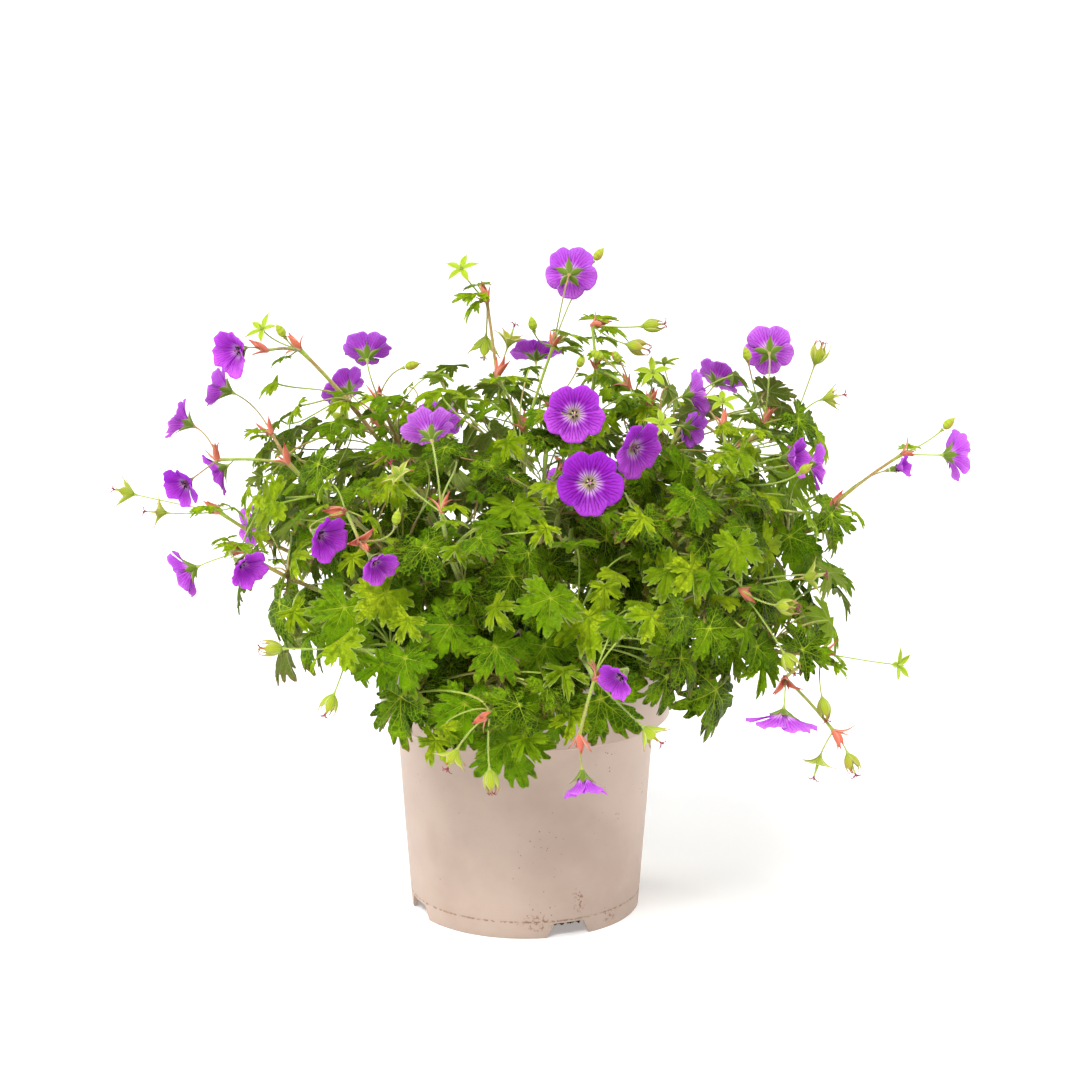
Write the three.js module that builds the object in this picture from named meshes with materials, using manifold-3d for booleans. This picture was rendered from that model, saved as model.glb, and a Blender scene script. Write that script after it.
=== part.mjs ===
// A hardy geranium (cranesbill) in flower, in a plain nursery pot.
// Millimetres, +Z up, origin on the floor at the middle of the pot's foot, front towards -Y.
import * as THREE from 'three';
import { mergeVertices } from 'three/addons/utils/BufferGeometryUtils.js';
import Module from 'manifold-3d';

const wasm = await Module();
wasm.setup();

// ---------------------------------------------------------------- driving dimensions
const pot = {
  height: 190, // foot to rim
  footRadius: 83,
  shoulderRadius: 94, // wall just under the rim band
  bandLowRadius: 104.5,
  bandTopRadius: 107,
  bandHeight: 44,
  wall: 2.4,
  footHeight: 12.5, // skirt under the floor plate
  notchWidth: 34, // one of the four feet openings
  notchTopWidth: 23,
  notchTurn: -68, // degrees, first notch; the rest follow at quarter turns
  drainRadius: 5,
  facets: 36,
};
const soil = { top: 176, gap: 0.35, facets: 24 };
const crown = new THREE.Vector3(0, 0, 185); // the point the foliage radiates from
// half sizes of the foliage mass, how square it is, how fast it draws in below and how far it rides up
const dome = { x: 212, y: 188, z: 193, corner: 2.6, drawnIn: 1.4, ride: 46 };
const finest = 0.04; // shorter edges than this are closed up after a joining

// stems and stalks
const stemRadius = 1.9;
const stemSteps = 5; // straight stretches between a stem's leaf joints
const riseHeight = 235; // a stem makes for this height before it bends outwards
const branchRadius = 1.15;
const pedicelRadius = 0.85;
const pedicelSteps = 2;
const petioleRadius = 0.85;
const petioleSteps = 3;
const plantedDepth = 9; // how far a stem stands in the soil
const holeRadius = 5;
const footGap = 0.4; // under a stem's planted end
const bract = { length: 10, radius: 1.9, sunk: 0.6 };

// flower heads: lengths in millimetres, rises in degrees from flat
// a flower's sepals rise by a share of its petals' own rise
const flowerCalyx = { length: 10.5, rise: 0.92, spike: 0.1, fullPetal: 19 };
const starCalyx = { length: 12.5, rise: 12, spike: 8 };
const beakCalyx = { length: 12, rise: 58, spike: 17 };
const calyxNotch = 0.3; // share of a sepal's length where it parts from its neighbour
const calyxBase = { depth: 2.6, radius: 1.5 };
const sepalThickness = 0.75;
const budShape = { radius: 3.5, widest: 4.5, length: 12.5, base: 1.8 };
const petalThickness = 0.8;
const seatGap = 0.35; // between a flower's petals and its green calyx
const petalForm = {
  notch: 0.83, halfTip: 18, bellyAt: 0.56, bellyLean: 1.22, notchLean: 1.08, tipLean: 0.98,
};

// leaves
const bladeThickness = 0.85;
const leafClearance = 0.55;
const longestPetiole = 170;
const archOfBlade = 0.1; // how far a blade drops towards its edge, as a share of its length

const colour = {
  pot: 0xc9b8a8,
  soil: 0x1c1613,
  foliage: [0x4f8a22, 0x5c962a, 0x437a1e, 0x6aa234],
  petal: [0x8a22c8, 0x7a18bc, 0x9a3cd0],
};

// ---------------------------------------------------------------- small tools
const vec = (x, y, z) => new THREE.Vector3(x, y, z);
const up = vec(0, 0, 1);
const degrees = THREE.MathUtils.degToRad;

// A repeatable random draw: the same seed always gives the same row of numbers.
function draws(seed) {
  let state = seed >>> 0;
  return () => {
    state = (state + 0x6d2b79f5) >>> 0;
    let t = state;
    t = Math.imul(t ^ (t >>> 15), t | 1);
    t ^= t + Math.imul(t ^ (t >>> 7), t | 61);
    return ((t ^ (t >>> 14)) >>> 0) / 4294967296;
  };
}

function toSolid(geometry) {
  const bare = geometry.clone();
  bare.deleteAttribute('normal');
  bare.deleteAttribute('uv');
  const merged = mergeVertices(bare, 1e-4);
  const solid = new wasm.Manifold(new wasm.Mesh({
    numProp: 3,
    vertProperties: new Float32Array(merged.attributes.position.array),
    triVerts: new Uint32Array(merged.index.array),
  }));
  if (solid.volume() < 0) throw new Error('a shape is inside out');
  return solid;
}

function toGeometry(solid) {
  const mesh = solid.getMesh();
  const geometry = new THREE.BufferGeometry();
  geometry.setAttribute('position', new THREE.BufferAttribute(mesh.vertProperties, 3));
  geometry.setIndex(new THREE.BufferAttribute(mesh.triVerts, 1));
  geometry.computeVertexNormals();
  return geometry;
}

const fuse = (solids) => wasm.Manifold.union(solids).simplify(finest);

// A few-sided rod along a curve.
function rod(curve, radius, sides, steps) {
  const section = new THREE.Shape();
  for (let i = 0; i < sides; i += 1) {
    const a = (i / sides) * 2 * Math.PI;
    section[i ? 'lineTo' : 'moveTo'](radius * Math.cos(a), radius * Math.sin(a));
  }
  return toSolid(new THREE.ExtrudeGeometry(section, { extrudePath: curve, steps, bevelEnabled: false }));
}

// A thin plate fanned from its centre and split alike on both faces. A rim point is { low, high },
// or { low } alone where the plate runs out in a sharp tip. `mids` bend the plate between centre
// and rim, one to each even share of the rim. `stalk` is a row of rings that ends in the underside.
function fan({ low, high, rim, mids = [], stalk = null }) {
  const points = [];
  const faces = [];
  const put = (p) => points.push(p) - 1;
  const ring = rim.map((p) => {
    const under = put(p.low);
    return { low: under, high: p.high ? put(p.high) : under };
  });
  const middle = mids.map((p) => ({ low: put(p.low), high: put(p.high) }));
  const n = ring.length;
  const top = put(high);
  const cells = (centre, side, flip) => {
    const cell = (a, b, c) => faces.push(flip ? [a, c, b] : [a, b, c]);
    const at = (i) => ring[i % n][side];
    const share = n / middle.length;
    middle.forEach((m, k) => {
      cell(centre, at(k * share), m[side]);
      cell(centre, m[side], at((k + 1) * share));
      for (let i = 0; i < share; i += 1) cell(m[side], at(k * share + i), at(k * share + i + 1));
    });
    if (!middle.length) {
      for (let i = 0; i < n; i += 1) cell(centre, at(i), at(i + 1));
    }
  };
  cells(top, 'high', false);
  if (stalk) joinStalk(stalk, ring, put, faces);
  else cells(put(low), 'low', true);
  ring.forEach((a, i) => {
    const b = ring[(i + 1) % n];
    if (b.high !== b.low) faces.push([a.low, b.low, b.high]);
    if (a.high !== a.low) faces.push([a.low, b.high, a.high]);
  });
  const geometry = new THREE.BufferGeometry();
  geometry.setAttribute('position',
    new THREE.BufferAttribute(new Float32Array(points.flatMap((p) => p.toArray())), 3));
  geometry.setIndex(faces.flat());
  return toSolid(geometry);
}

// The stalk's sides, its closed foot, and the plate's underside fanned from its last ring.
function joinStalk(stalk, rim, put, faces) {
  const rings = stalk.map((ring) => ring.map(put));
  const sides = rings[0].length;
  for (let k = 0; k + 1 < rings.length; k += 1) {
    for (let i = 0; i < sides; i += 1) {
      const j = (i + 1) % sides;
      const [a, b, c, d] = [rings[k][i], rings[k][j], rings[k + 1][j], rings[k + 1][i]];
      faces.push([a, b, c], [a, c, d]);
    }
  }
  for (let i = 1; i + 1 < sides; i += 1) faces.push([rings[0][0], rings[0][i + 1], rings[0][i]]);
  const last = rings[rings.length - 1];
  const n = rim.length;
  // the ring's first corner stands a quarter turn on from the rim's first point
  const nearest = (k) => (Math.round(((k / n) * sides) - sides / 4) + sides) % sides;
  for (let k = 0; k < n; k += 1) {
    const from = rim[k].low;
    const to = rim[(k + 1) % n].low;
    const a = nearest(k);
    const b = nearest((k + 1) % n);
    if (a !== b) faces.push([from, last[a], last[b]]);
    faces.push([from, last[b], to]);
  }
}

// Rings of a three-sided stalk along a curve, the last one laid in the plate it carries.
function stalkRings(curve, radius, steps, frame, end, endRadius) {
  const rings = [];
  for (let k = 0; k < steps; k += 1) {
    const t = k / steps;
    const along = curve.getTangent(t);
    const u = frame.side.clone().addScaledVector(along, -frame.side.dot(along)).normalize();
    const v = along.clone().cross(u);
    const p = curve.getPoint(t);
    rings.push([0, 1, 2].map((i) => {
      const a = (i / 3) * 2 * Math.PI;
      return p.clone().addScaledVector(u, radius * Math.cos(a)).addScaledVector(v, radius * Math.sin(a));
    }));
  }
  rings.push([0, 1, 2].map((i) => {
    const a = (i / 3) * 2 * Math.PI;
    return end.clone().addScaledVector(frame.side, endRadius * Math.cos(a))
      .addScaledVector(frame.forward, -endRadius * Math.sin(a));
  }));
  return rings;
}

// Three directions at right angles: normal, forward (as near to `ahead` as it can be) and side.
function axes(normal, ahead) {
  const n = normal.clone().normalize();
  const forward = ahead.clone().addScaledVector(n, -ahead.dot(n)).normalize();
  const side = n.clone().cross(forward);
  return { n, forward, side };
}

const within = (frame, origin, x, y, z) => origin.clone()
  .addScaledVector(frame.forward, x).addScaledVector(frame.side, y).addScaledVector(frame.n, z);

// ---------------------------------------------------------------- the pot
function makePot() {
  const p = pot;
  const bandFoot = p.height - p.bandHeight;
  const floorTop = p.footHeight + p.wall;
  const profile = [
    [0, p.footHeight], [p.footRadius - 2.4, p.footHeight], [p.footRadius - 3, 0], [p.footRadius, 0],
    [p.shoulderRadius, bandFoot + 4], [p.bandLowRadius - 2.4, bandFoot + 4],
    [p.bandLowRadius - 2.2, bandFoot],
    [p.bandLowRadius, bandFoot], [p.bandTopRadius, p.height - 1], [p.bandTopRadius - 1, p.height],
    [p.bandTopRadius - 4.4, p.height], [p.bandLowRadius - 4.6, bandFoot + 10],
    [p.shoulderRadius - p.wall, bandFoot + 2], [p.footRadius - p.wall + 0.4, floorTop], [0, floorTop],
  ];
  const shell = new THREE.LatheGeometry(profile.map(([r, z]) => new THREE.Vector2(r, z)), p.facets);
  let body = toSolid(shell.rotateX(Math.PI / 2));
  const notch = new THREE.Shape();
  notch.moveTo(-p.notchWidth / 2, -1);
  notch.lineTo(p.notchWidth / 2, -1);
  notch.lineTo(p.notchTopWidth / 2, p.footHeight - 1.5);
  notch.lineTo(-p.notchTopWidth / 2, p.footHeight - 1.5);
  for (let i = 0; i < 4; i += 1) {
    const turn = degrees(p.notchTurn + 90 * i);
    const cutter = new THREE.ExtrudeGeometry(notch, { depth: 40, bevelEnabled: false });
    cutter.rotateX(Math.PI / 2).translate(0, 110, 0).rotateZ(turn - Math.PI / 2);
    const drain = new THREE.CylinderGeometry(p.drainRadius, p.drainRadius, 12, 6);
    drain.rotateX(Math.PI / 2).translate(p.footRadius - 14, 0, floorTop).rotateZ(turn);
    body = body.subtract(toSolid(cutter)).subtract(toSolid(drain));
  }
  return body;
}

// ---------------------------------------------------------------- the plant's table
// What the forks bear. A place is [x, y, z] where the stalk meets it, and `faces` is where it looks.
const bloom = (at, faces, petal, rise) => ({ kind: 'bloom', at, faces, petal, rise });
const star = (at, faces) => ({ kind: 'star', at, faces });
const beak = (at, faces) => ({ kind: 'beak', at, faces });
const bud = (at, faces) => ({ kind: 'bud', at, faces });
const fork = (at, ...bears) => ({ kind: 'fork', at, bears });
const stem = (root, bend, top) => ({ root, bend, top });

const stems = [
  // left side, from the top down
  stem([-30, 8], [-96, 14, 345], fork([-160, 10, 409],
    star([-186, 0, 426], [-0.4, -0.5, 0.75]), bud([-169, -15, 423], [-0.5, -0.2, 0.8]),
    fork([-181, -25, 415], bloom([-196, -27, 417], [-0.65, -0.72, -0.12], 22.5, 40)))),
  stem([-50, -16], [-124, -36, 290], fork([-166, -42, 338],
    fork([-178, -36, 358], bloom([-208, -4, 381], [-0.88, 0.32, 0.3], 20, 38)),
    fork([-215, -45, 341], bloom([-233, -34, 363], [-0.9, 0.14, 0.36], 20, 42),
      bloom([-212, -16, 330], [-0.85, -0.12, -0.48], 19.5, 32),
      bloom([-231, -78, 334], [-0.6, -0.7, -0.35], 19, 36)))),
  stem([-58, 14], [-150, 30, 232], fork([-222, 34, 285],
    beak([-288, 62, 292], [-0.95, 0.1, 0.2]), beak([-262, 36, 284], [-0.95, -0.1, 0.1]))),
  stem([-60, -34], [-140, -64, 236], fork([-196, -72, 282],
    bloom([-228, -82, 273], [-0.88, 0.12, -0.45], 21, 32),
    bloom([-198, -112, 286], [0.65, -0.7, -0.3], 22.5, 48))),
  // front left
  stem([-44, -44], [-92, -84, 280], fork([-122, -120, 322],
    bloom([-143, -138, 312], [0.72, -0.62, -0.2], 23, 42),
    fork([-112, -140, 306], bloom([-104, -158, 300], [0.55, -0.75, -0.38], 20, 46),
      bud([-87, -152, 320], [0.2, 0, 1])))),
  stem([-40, -60], [-66, -140, 222], fork([-119, -146, 232],
    beak([-166, -134, 229], [-0.95, 0.1, 0]), beak([-130, -156, 202], [-0.4, -0.1, -0.9]))),
  stem([-18, -56], [-48, -128, 250], fork([-56, -150, 328],
    bloom([-63, -132, 374], [-0.2, 0.78, 0.58], 22, 32), beak([-83, -142, 350], [-0.5, -0.4, 0.8]))),
  // the top
  stem([-34, -18], [-74, -16, 310], fork([-103, -20, 379],
    bloom([-111, -20, 408], [-0.05, 0.8, 0.6], 20.5, 32), bud([-84, -30, 404], [0.95, 0, 0.25]))),
  stem([-2, 8], [-2, 6, 310], fork([0, 0, 352],
    fork([-20, -12, 394], beak([-12, -8, 416], [0.3, 0, 0.95]),
      fork([-27, -2, 446], star([-45, 0, 469], [-0.2, -0.6, 0.75]), beak([-28, 8, 418], [-0.1, 0.2, -1]))),
    fork([20, 10, 412], bloom([31, 4, 464], [0.12, 0.96, 0.05], 20.5, 22),
      bud([49, 18, 472], [0.6, 0.1, 0.8]), bud([6, -6, 426], [-0.2, -0.2, 1])))),
  stem([26, -6], [36, -14, 320], fork([50, -14, 400],
    fork([47, -8, 430], beak([83, -18, 431], [0.95, 0, 0.1]), beak([72, -30, 420], [0.9, -0.2, -0.2])),
    fork([73, -40, 391], bud([54, -46, 413], [-0.8, 0, 0.5]), bud([65, -54, 413], [-0.4, -0.5, 0.7])))),
  // front, right of the middle
  stem([6, -36], [20, -66, 290], fork([30, -78, 338],
    bloom([33, -96, 384], [0, -0.97, 0.2], 22, 20), bloom([43, -126, 343], [0.06, -0.96, 0.22], 24, 18))),
  stem([28, -30], [60, -50, 300], fork([78, -56, 348],
    bloom([71, -98, 362], [0.68, -0.7, -0.2], 23, 24), star([94, -74, 373], [0.2, -0.7, 0.7]),
    fork([87, -32, 377], star([89, -32, 401], [0, -0.75, 0.65])))),
  stem([40, -6], [80, -2, 300], fork([94, 0, 352],
    bloom([113, 16, 374], [0.93, 0.25, 0.12], 22, 34),
    bloom([114, 34, 348], [0.75, 0.5, -0.35], 17, 36))),
  // right side, from the top down
  stem([40, 18], [118, 22, 290], fork([171, 10, 355],
    bloom([174, 20, 405], [0, 0.96, 0.12], 20, 22), bud([157, -8, 405], [-0.2, -0.3, 0.9]),
    fork([192, 22, 352], beak([208, 30, 396], [0.3, 0, 0.95]), beak([214, 18, 372], [0.9, 0, 0.2])))),
  stem([46, -22], [110, -44, 270], fork([142, -62, 328],
    fork([139, -24, 361], star([140, -2, 374], [0, -0.5, 0.85])), bud([189, -82, 340], [0.7, -0.3, 0.6]),
    bloom([178, -62, 346], [0.85, -0.4, 0.1], 20, 44), bloom([196, -38, 336], [0.97, 0.1, -0.05], 20, 32))),
  stem([58, -2], [150, -20, 236], fork([214, -44, 306],
    bloom([251, -73, 340], [0.84, -0.42, 0.3], 15.5, 62),
    fork([262, -58, 348], bloom([289, -70, 350], [0.9, 0.32, -0.05], 21, 34),
      bud([290, -58, 366], [0.7, 0, 0.7])))),
  stem([50, -40], [112, -96, 222], fork([146, -130, 270],
    beak([176, -142, 227], [0.5, -0.2, -0.85]), beak([170, -152, 264], [0.8, -0.4, 0]),
    beak([193, -92, 268], [0.9, 0.1, 0.1]))),
  stem([58, -24], [150, -84, 206], fork([206, -92, 214],
    star([258, -108, 210], [0.7, -0.65, 0.1]), beak([204, -124, 190], [0.2, -0.3, -0.9]),
    fork([178, -126, 206], bloom([176, -142, 188], [-0.12, -0.14, -0.98], 26, 22),
      fork([212, -126, 168], beak([222, -130, 152], [0.35, -0.3, -0.9]),
        beak([202, -136, 152], [-0.3, -0.3, -0.9]))))),
  // front, low over the rim
  stem([20, -62], [34, -140, 236], fork([46, -184, 222],
    bloom([67, -194, 230], [-0.6, -0.72, -0.35], 19, 46), beak([80, -186, 188], [0.7, -0.2, -0.6]),
    fork([36, -190, 184], bloom([38, -190, 160], [0.12, -0.3, -0.94], 22, 46)))),
  stem([-4, -64], [-12, -140, 228], fork([-24, -184, 198],
    beak([-46, -184, 172], [-0.45, 0, -0.9]), beak([-24, -186, 158], [0.1, -0.1, -1]))),
  // the back
  stem([-30, 42], [-84, 96, 280], fork([-108, 124, 330],
    bloom([-132, 140, 352], [-0.55, 0.6, 0.45], 21, 26), beak([-136, 160, 326], [-0.6, 0.6, 0.3]),
    fork([-78, 158, 312], bloom([-66, 186, 318], [-0.1, 0.95, 0.1], 21, 30)))),
  stem([8, 48], [14, 118, 290], fork([18, 146, 340],
    bloom([8, 156, 374], [0, 0.55, 0.8], 21, 24), bud([40, 160, 368], [0.4, 0.2, 0.9]),
    fork([30, 178, 290], bloom([26, 192, 276], [0.1, 0.75, -0.6], 20, 40)))),
  stem([42, 36], [96, 90, 290], fork([120, 112, 342],
    bloom([142, 134, 360], [0.5, 0.55, 0.65], 21, 26), star([104, 136, 376], [-0.1, 0.4, 0.9]),
    fork([158, 128, 312], bloom([190, 134, 304], [0.9, 0.3, -0.2], 20, 36)))),
  stem([24, 58], [90, 136, 210], fork([132, 162, 232],
    bloom([158, 176, 226], [0.55, 0.65, -0.5], 20, 40), beak([124, 196, 222], [0.1, 0.85, -0.4]))),
  stem([-46, 30], [-128, 96, 224], fork([-168, 118, 252],
    bloom([-198, 132, 252], [-0.85, 0.45, -0.2], 20, 36), beak([-168, 152, 236], [-0.3, 0.8, -0.4]))),
];

// ---------------------------------------------------------------- stems and stalks
const place = (p) => vec(...p);

function stemCurve({ root, bend, top }) {
  return new THREE.CubicBezierCurve3(
    vec(root[0], root[1], soil.top - plantedDepth + footGap), vec(root[0], root[1], riseHeight),
    place(bend), place(top.at));
}

// A stalk leaves its fork and swings round to meet what it bears from behind.
function stalkCurve(from, to, faces) {
  const reach = from.distanceTo(to) * 0.42;
  const handle = to.clone().addScaledVector(faces, -reach);
  return new THREE.QuadraticBezierCurve3(from, handle, to);
}

function tipCone(at, faces, radius, length, sides) {
  const cone = new THREE.ConeGeometry(radius, length, sides);
  cone.translate(0, length / 2, 0);
  cone.applyQuaternion(new THREE.Quaternion().setFromUnitVectors(vec(0, 1, 0), faces));
  return toSolid(cone.translate(at.x, at.y, at.z));
}

// Five sepals in a star on their stalk; `rise` is how steeply they stand, in degrees, and
// `spike` how far the middle stands up as a seed beak.
function makeCalyx(from, at, faces, { length, rise, spike }) {
  const frame = axes(faces, Math.abs(faces.z) > 0.9 ? vec(0, -1, 0) : up);
  const tilt = degrees(rise);
  const thick = sepalThickness / Math.cos(tilt * 0.9);
  const rim = [];
  for (let i = 0; i < 10; i += 1) {
    const a = (i / 10) * 2 * Math.PI;
    const along = i % 2 ? length * calyxNotch : length;
    const r = along * Math.cos(tilt);
    const h = along * Math.sin(tilt);
    const point = (drop) => within(frame, at, r * Math.cos(a), r * Math.sin(a), h - drop);
    rim.push(i % 2 ? { low: point(thick), high: point(0) } : { low: point(thick / 3) });
  }
  const base = within(frame, at, 0, 0, -calyxBase.depth);
  const curve = stalkCurve(from, base, faces);
  const stalk = stalkRings(curve, pedicelRadius, pedicelSteps, frame, base, calyxBase.radius);
  return fan({ high: within(frame, at, 0, 0, spike), rim, stalk });
}

// Five broad petals joined at the throat, opening as a saucer, a cup or a bell.
function makeCorolla({ at, faces, petal, rise }) {
  const form = petalForm;
  const dir = place(faces).normalize();
  const frame = axes(dir, Math.abs(dir.z) > 0.9 ? vec(0, -1, 0) : up);
  const tilt = degrees(rise);
  const seat = place(at).addScaledVector(dir, seatGap + flowerCalyx.spike + 0.15);
  const pair = (angle, along, lean) => {
    const s = tilt * lean;
    const r = along * Math.cos(s);
    const h = along * Math.sin(s);
    const a = degrees(angle);
    const inner = r - petalThickness * Math.sin(tilt);
    const lifted = petalThickness * Math.cos(tilt);
    return {
      low: within(frame, seat, r * Math.cos(a), r * Math.sin(a), h),
      high: within(frame, seat, inner * Math.cos(a), inner * Math.sin(a), h + lifted),
    };
  };
  const rim = [];
  const mids = [];
  for (let i = 0; i < 5; i += 1) {
    const mid = 36 + 72 * i;
    rim.push({ low: pair(mid - 36, petal * form.notch, form.notchLean).low });
    rim.push(pair(mid - form.halfTip, petal, form.tipLean), pair(mid + form.halfTip, petal, form.tipLean));
    mids.push(pair(mid, petal * form.bellyAt, form.bellyLean));
  }
  const high = within(frame, seat, 0, 0, petalThickness / Math.cos(tilt) + 0.1);
  return fan({ low: seat, high, rim, mids });
}

// A closed bud: the stalk swells, then runs to a point.
function makeBud(from, at, faces) {
  const b = budShape;
  const frame = axes(faces, Math.abs(faces.z) > 0.9 ? vec(0, -1, 0) : up);
  const rim = [0, 1, 2, 3, 4].map((i) => {
    const a = (i / 5) * 2 * Math.PI;
    return { low: within(frame, at, b.radius * Math.cos(a), b.radius * Math.sin(a), b.widest) };
  });
  const stalk = stalkRings(stalkCurve(from, at, faces), pedicelRadius, pedicelSteps, frame, at, b.base);
  return fan({ high: within(frame, at, 0, 0, b.length), rim, stalk });
}

// One stem with all its forks: rods for the stalks, heads, and bracts where it divides.
function growStem(entry, number) {
  const curve = stemCurve(entry);
  const parts = [rod(curve, stemRadius, 4, stemSteps)];
  const blooms = [];
  const bear = (item, from) => {
    const at = place(item.at);
    if (item.kind === 'fork') {
      if (from) parts.push(rod(new THREE.LineCurve3(from, at), branchRadius, 3, 1));
      const lean = place(item.bears[0].at).sub(at).normalize().add(vec(0, 0, 0.8)).normalize();
      const foot = at.clone().addScaledVector(lean, -bract.sunk);
      parts.push(tipCone(foot, lean, bract.radius, bract.length, 3));
      item.bears.forEach((child) => bear(child, at));
      return;
    }
    const faces = place(item.faces).normalize();
    if (item.kind === 'bloom') {
      const c = flowerCalyx;
      const length = c.length * Math.min(1, item.petal / c.fullPetal);
      parts.push(makeCalyx(from, at, faces, { length, rise: item.rise * c.rise, spike: c.spike }));
      blooms.push(item);
    } else if (item.kind === 'star') {
      parts.push(makeCalyx(from, at, faces, starCalyx));
    } else if (item.kind === 'beak') {
      parts.push(makeCalyx(from, at, faces, beakCalyx));
    } else {
      parts.push(makeBud(from, at, faces));
    }
  };
  bear(entry.top, null);
  return { number, joints: curve.getSpacedPoints(stemSteps), parts, blooms };
}

// ---------------------------------------------------------------- leaves
// Lobed outlines as [degrees from the middle lobe, share of the leaf's length, kind].
const halfLarge = [[0, 1, 'tip'], [18, 0.8, 'tooth'], [30, 0.34, 'sinus'], [42, 0.77, 'tooth'],
  [60, 0.94, 'tip'], [78, 0.72, 'tooth'], [90, 0.32, 'sinus'], [120, 0.78, 'tip']];
const halfSmall = [[0, 1, 'tip'], [22, 0.74, 'tooth'], [34, 0.34, 'sinus'], [68, 0.86, 'tip']];
const lift = { tip: -0.2, tooth: -0.02, sinus: 0.02, base: 0 }; // of the edge, by kind of point

function lobedOutline(half) {
  const mirrored = half.slice(1).reverse().map(([a, r, k]) => [360 - a, r, k]);
  return [...half, [180, 0.14, 'base'], ...mirrored];
}
const outlines = { large: lobedOutline(halfLarge), small: lobedOutline(halfSmall) };

// A blade fanned from the point where its stalk joins it, sharp at the lobes' tips.
function makeBlade(leaf, { grow = 1, thickness = bladeThickness, drop = 0, stalk = null }) {
  const { at, frame, size, form } = leaf;
  const rim = outlines[form].map(([angle, share, kind]) => {
    const a = degrees(angle);
    const r = share * size * grow;
    const h = (lift[kind] * share - archOfBlade * share * share) * size - drop;
    const point = (x) => within(frame, at, r * Math.cos(a), r * Math.sin(a), h + x);
    return kind === 'tip' ? { low: point(thickness / 2) } : { low: point(0), high: point(thickness) };
  });
  return fan({
    low: within(frame, at, 0, 0, -drop), high: within(frame, at, 0, 0, thickness - drop), rim, stalk,
  });
}

// How far the foliage mass reaches from the crown in a direction: round from above, squarer from
// the side, and drawn in below.
function domeReach(direction) {
  const flat = Math.hypot(direction.x / dome.x, direction.y / dome.y);
  const climb = Math.abs(direction.z / dome.z);
  const reach = (flat ** dome.corner + climb ** dome.corner) ** (-1 / dome.corner);
  return reach * Math.min(1, 1 + dome.drawnIn * direction.z);
}

// The mass rides up at the sides and the back, where nothing hangs over the rim.
function ridden(at) {
  const back = Math.max(0, at.y / dome.y);
  return dome.ride * Math.min(1, (at.x / dome.x) ** 2 + back * back * 0.6);
}

// Leaf places: a spiral of even directions over the dome, in shells from the outside in.
const shells = [
  { form: 'large', count: 43, depth: 0.95, low: -0.1, high: 0.96, size: [26, 35], seed: 11 },
  { form: 'large', count: 12, depth: 0.7, low: 0, high: 0.85, size: [28, 34], seed: 23 },
  { form: 'small', count: 18, depth: 1.05, low: 0.05, high: 0.98, size: [17, 23], seed: 37 },
];
const goldenTurn = degrees(137.508);
const tries = 10;
const flowerRoom = 14; // kept free round the middle of a flower,
const faceRoom = 45; // this far before its face
const viewRoom = 150; // and this far towards the viewer,
const lastSeen = 45; // for the flowers that stand no further back than this
const viewer = vec(0, -2300, 830);

function leafCandidate(shell, i, attempt) {
  const draw = draws(shell.seed * 100000 + i * 100 + attempt);
  const loose = 0.06 + 0.05 * attempt;
  const e = shell.low + (shell.high - shell.low) * ((i + 0.5) / shell.count) + (draw() - 0.5) * loose;
  const height = Math.max(shell.low, Math.min(0.985, e));
  const turn = i * goldenTurn + shell.seed + (draw() - 0.5) * loose * 4;
  const flat = Math.sqrt(1 - height * height);
  const out = vec(flat * Math.cos(turn), flat * Math.sin(turn), height);
  const depth = shell.depth * (0.94 + 0.12 * draw());
  const at = crown.clone().addScaledVector(out, domeReach(out) * depth);
  at.z += ridden(at);
  const normal = out.clone().add(vec((draw() - 0.5) * 0.8, (draw() - 0.5) * 0.8, 0.05 + 0.45 * draw()));
  const roll = (draw() - 0.5) * 1.6;
  const level = vec(-out.y, out.x, 0).normalize();
  const ahead = vec(out.x, out.y, -0.55).addScaledVector(level, roll);
  const small = Math.max(0, Math.min(1, (height + 0.05) / 0.95));
  const size = shell.size[1] + (shell.size[0] - shell.size[1]) * small + (draw() - 0.5) * 5;
  return { at, frame: axes(normal, ahead), size, form: shell.form };
}

// The leaf stalk leaves one of the stem's joints, where the way is shortest, and meets the blade
// from below.
function petioleFor(leaf, joints) {
  let best = { cost: Infinity };
  for (const from of joints.slice(1)) {
    const way = leaf.at.clone().sub(from);
    const under = way.dot(leaf.frame.n) / way.length();
    const cost = way.length() + Math.max(0, -way.z) * 1.5 + (under < 0.2 ? 500 : 0);
    if (cost < best.cost) best = { cost, from, length: way.length() };
  }
  if (best.cost > longestPetiole) return best;
  const { from, length } = best;
  const outward = from.clone().setZ(0).normalize();
  const first = from.clone().addScaledVector(up, length * 0.3).addScaledVector(outward, length * 0.12);
  const second = leaf.at.clone().addScaledVector(leaf.frame.n, -length * 0.26)
    .addScaledVector(leaf.frame.forward, -length * 0.2);
  return { ...best, curve: new THREE.CubicBezierCurve3(from, first, second, leaf.at) };
}

// No leaf stands close before a flower's face, nor before a front flower as it is seen from the front.
function hidesFlower({ at, size }, blooms) {
  return blooms.some((item) => {
    const middle = place(item.at);
    const away = at.clone().sub(middle);
    const near = (way, length) => {
      const gone = Math.max(0, Math.min(length, away.dot(way)));
      return away.distanceTo(way.clone().multiplyScalar(gone)) < flowerRoom + size * 0.7;
    };
    const toViewer = viewer.clone().sub(middle).normalize();
    return near(place(item.faces).normalize(), faceRoom)
      || (middle.y < lastSeen && near(toViewer, viewRoom));
  });
}

const overlaps = (a, b) => [0, 1, 2].every((k) => a.min[k] < b.max[k] && b.min[k] < a.max[k]);

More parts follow.
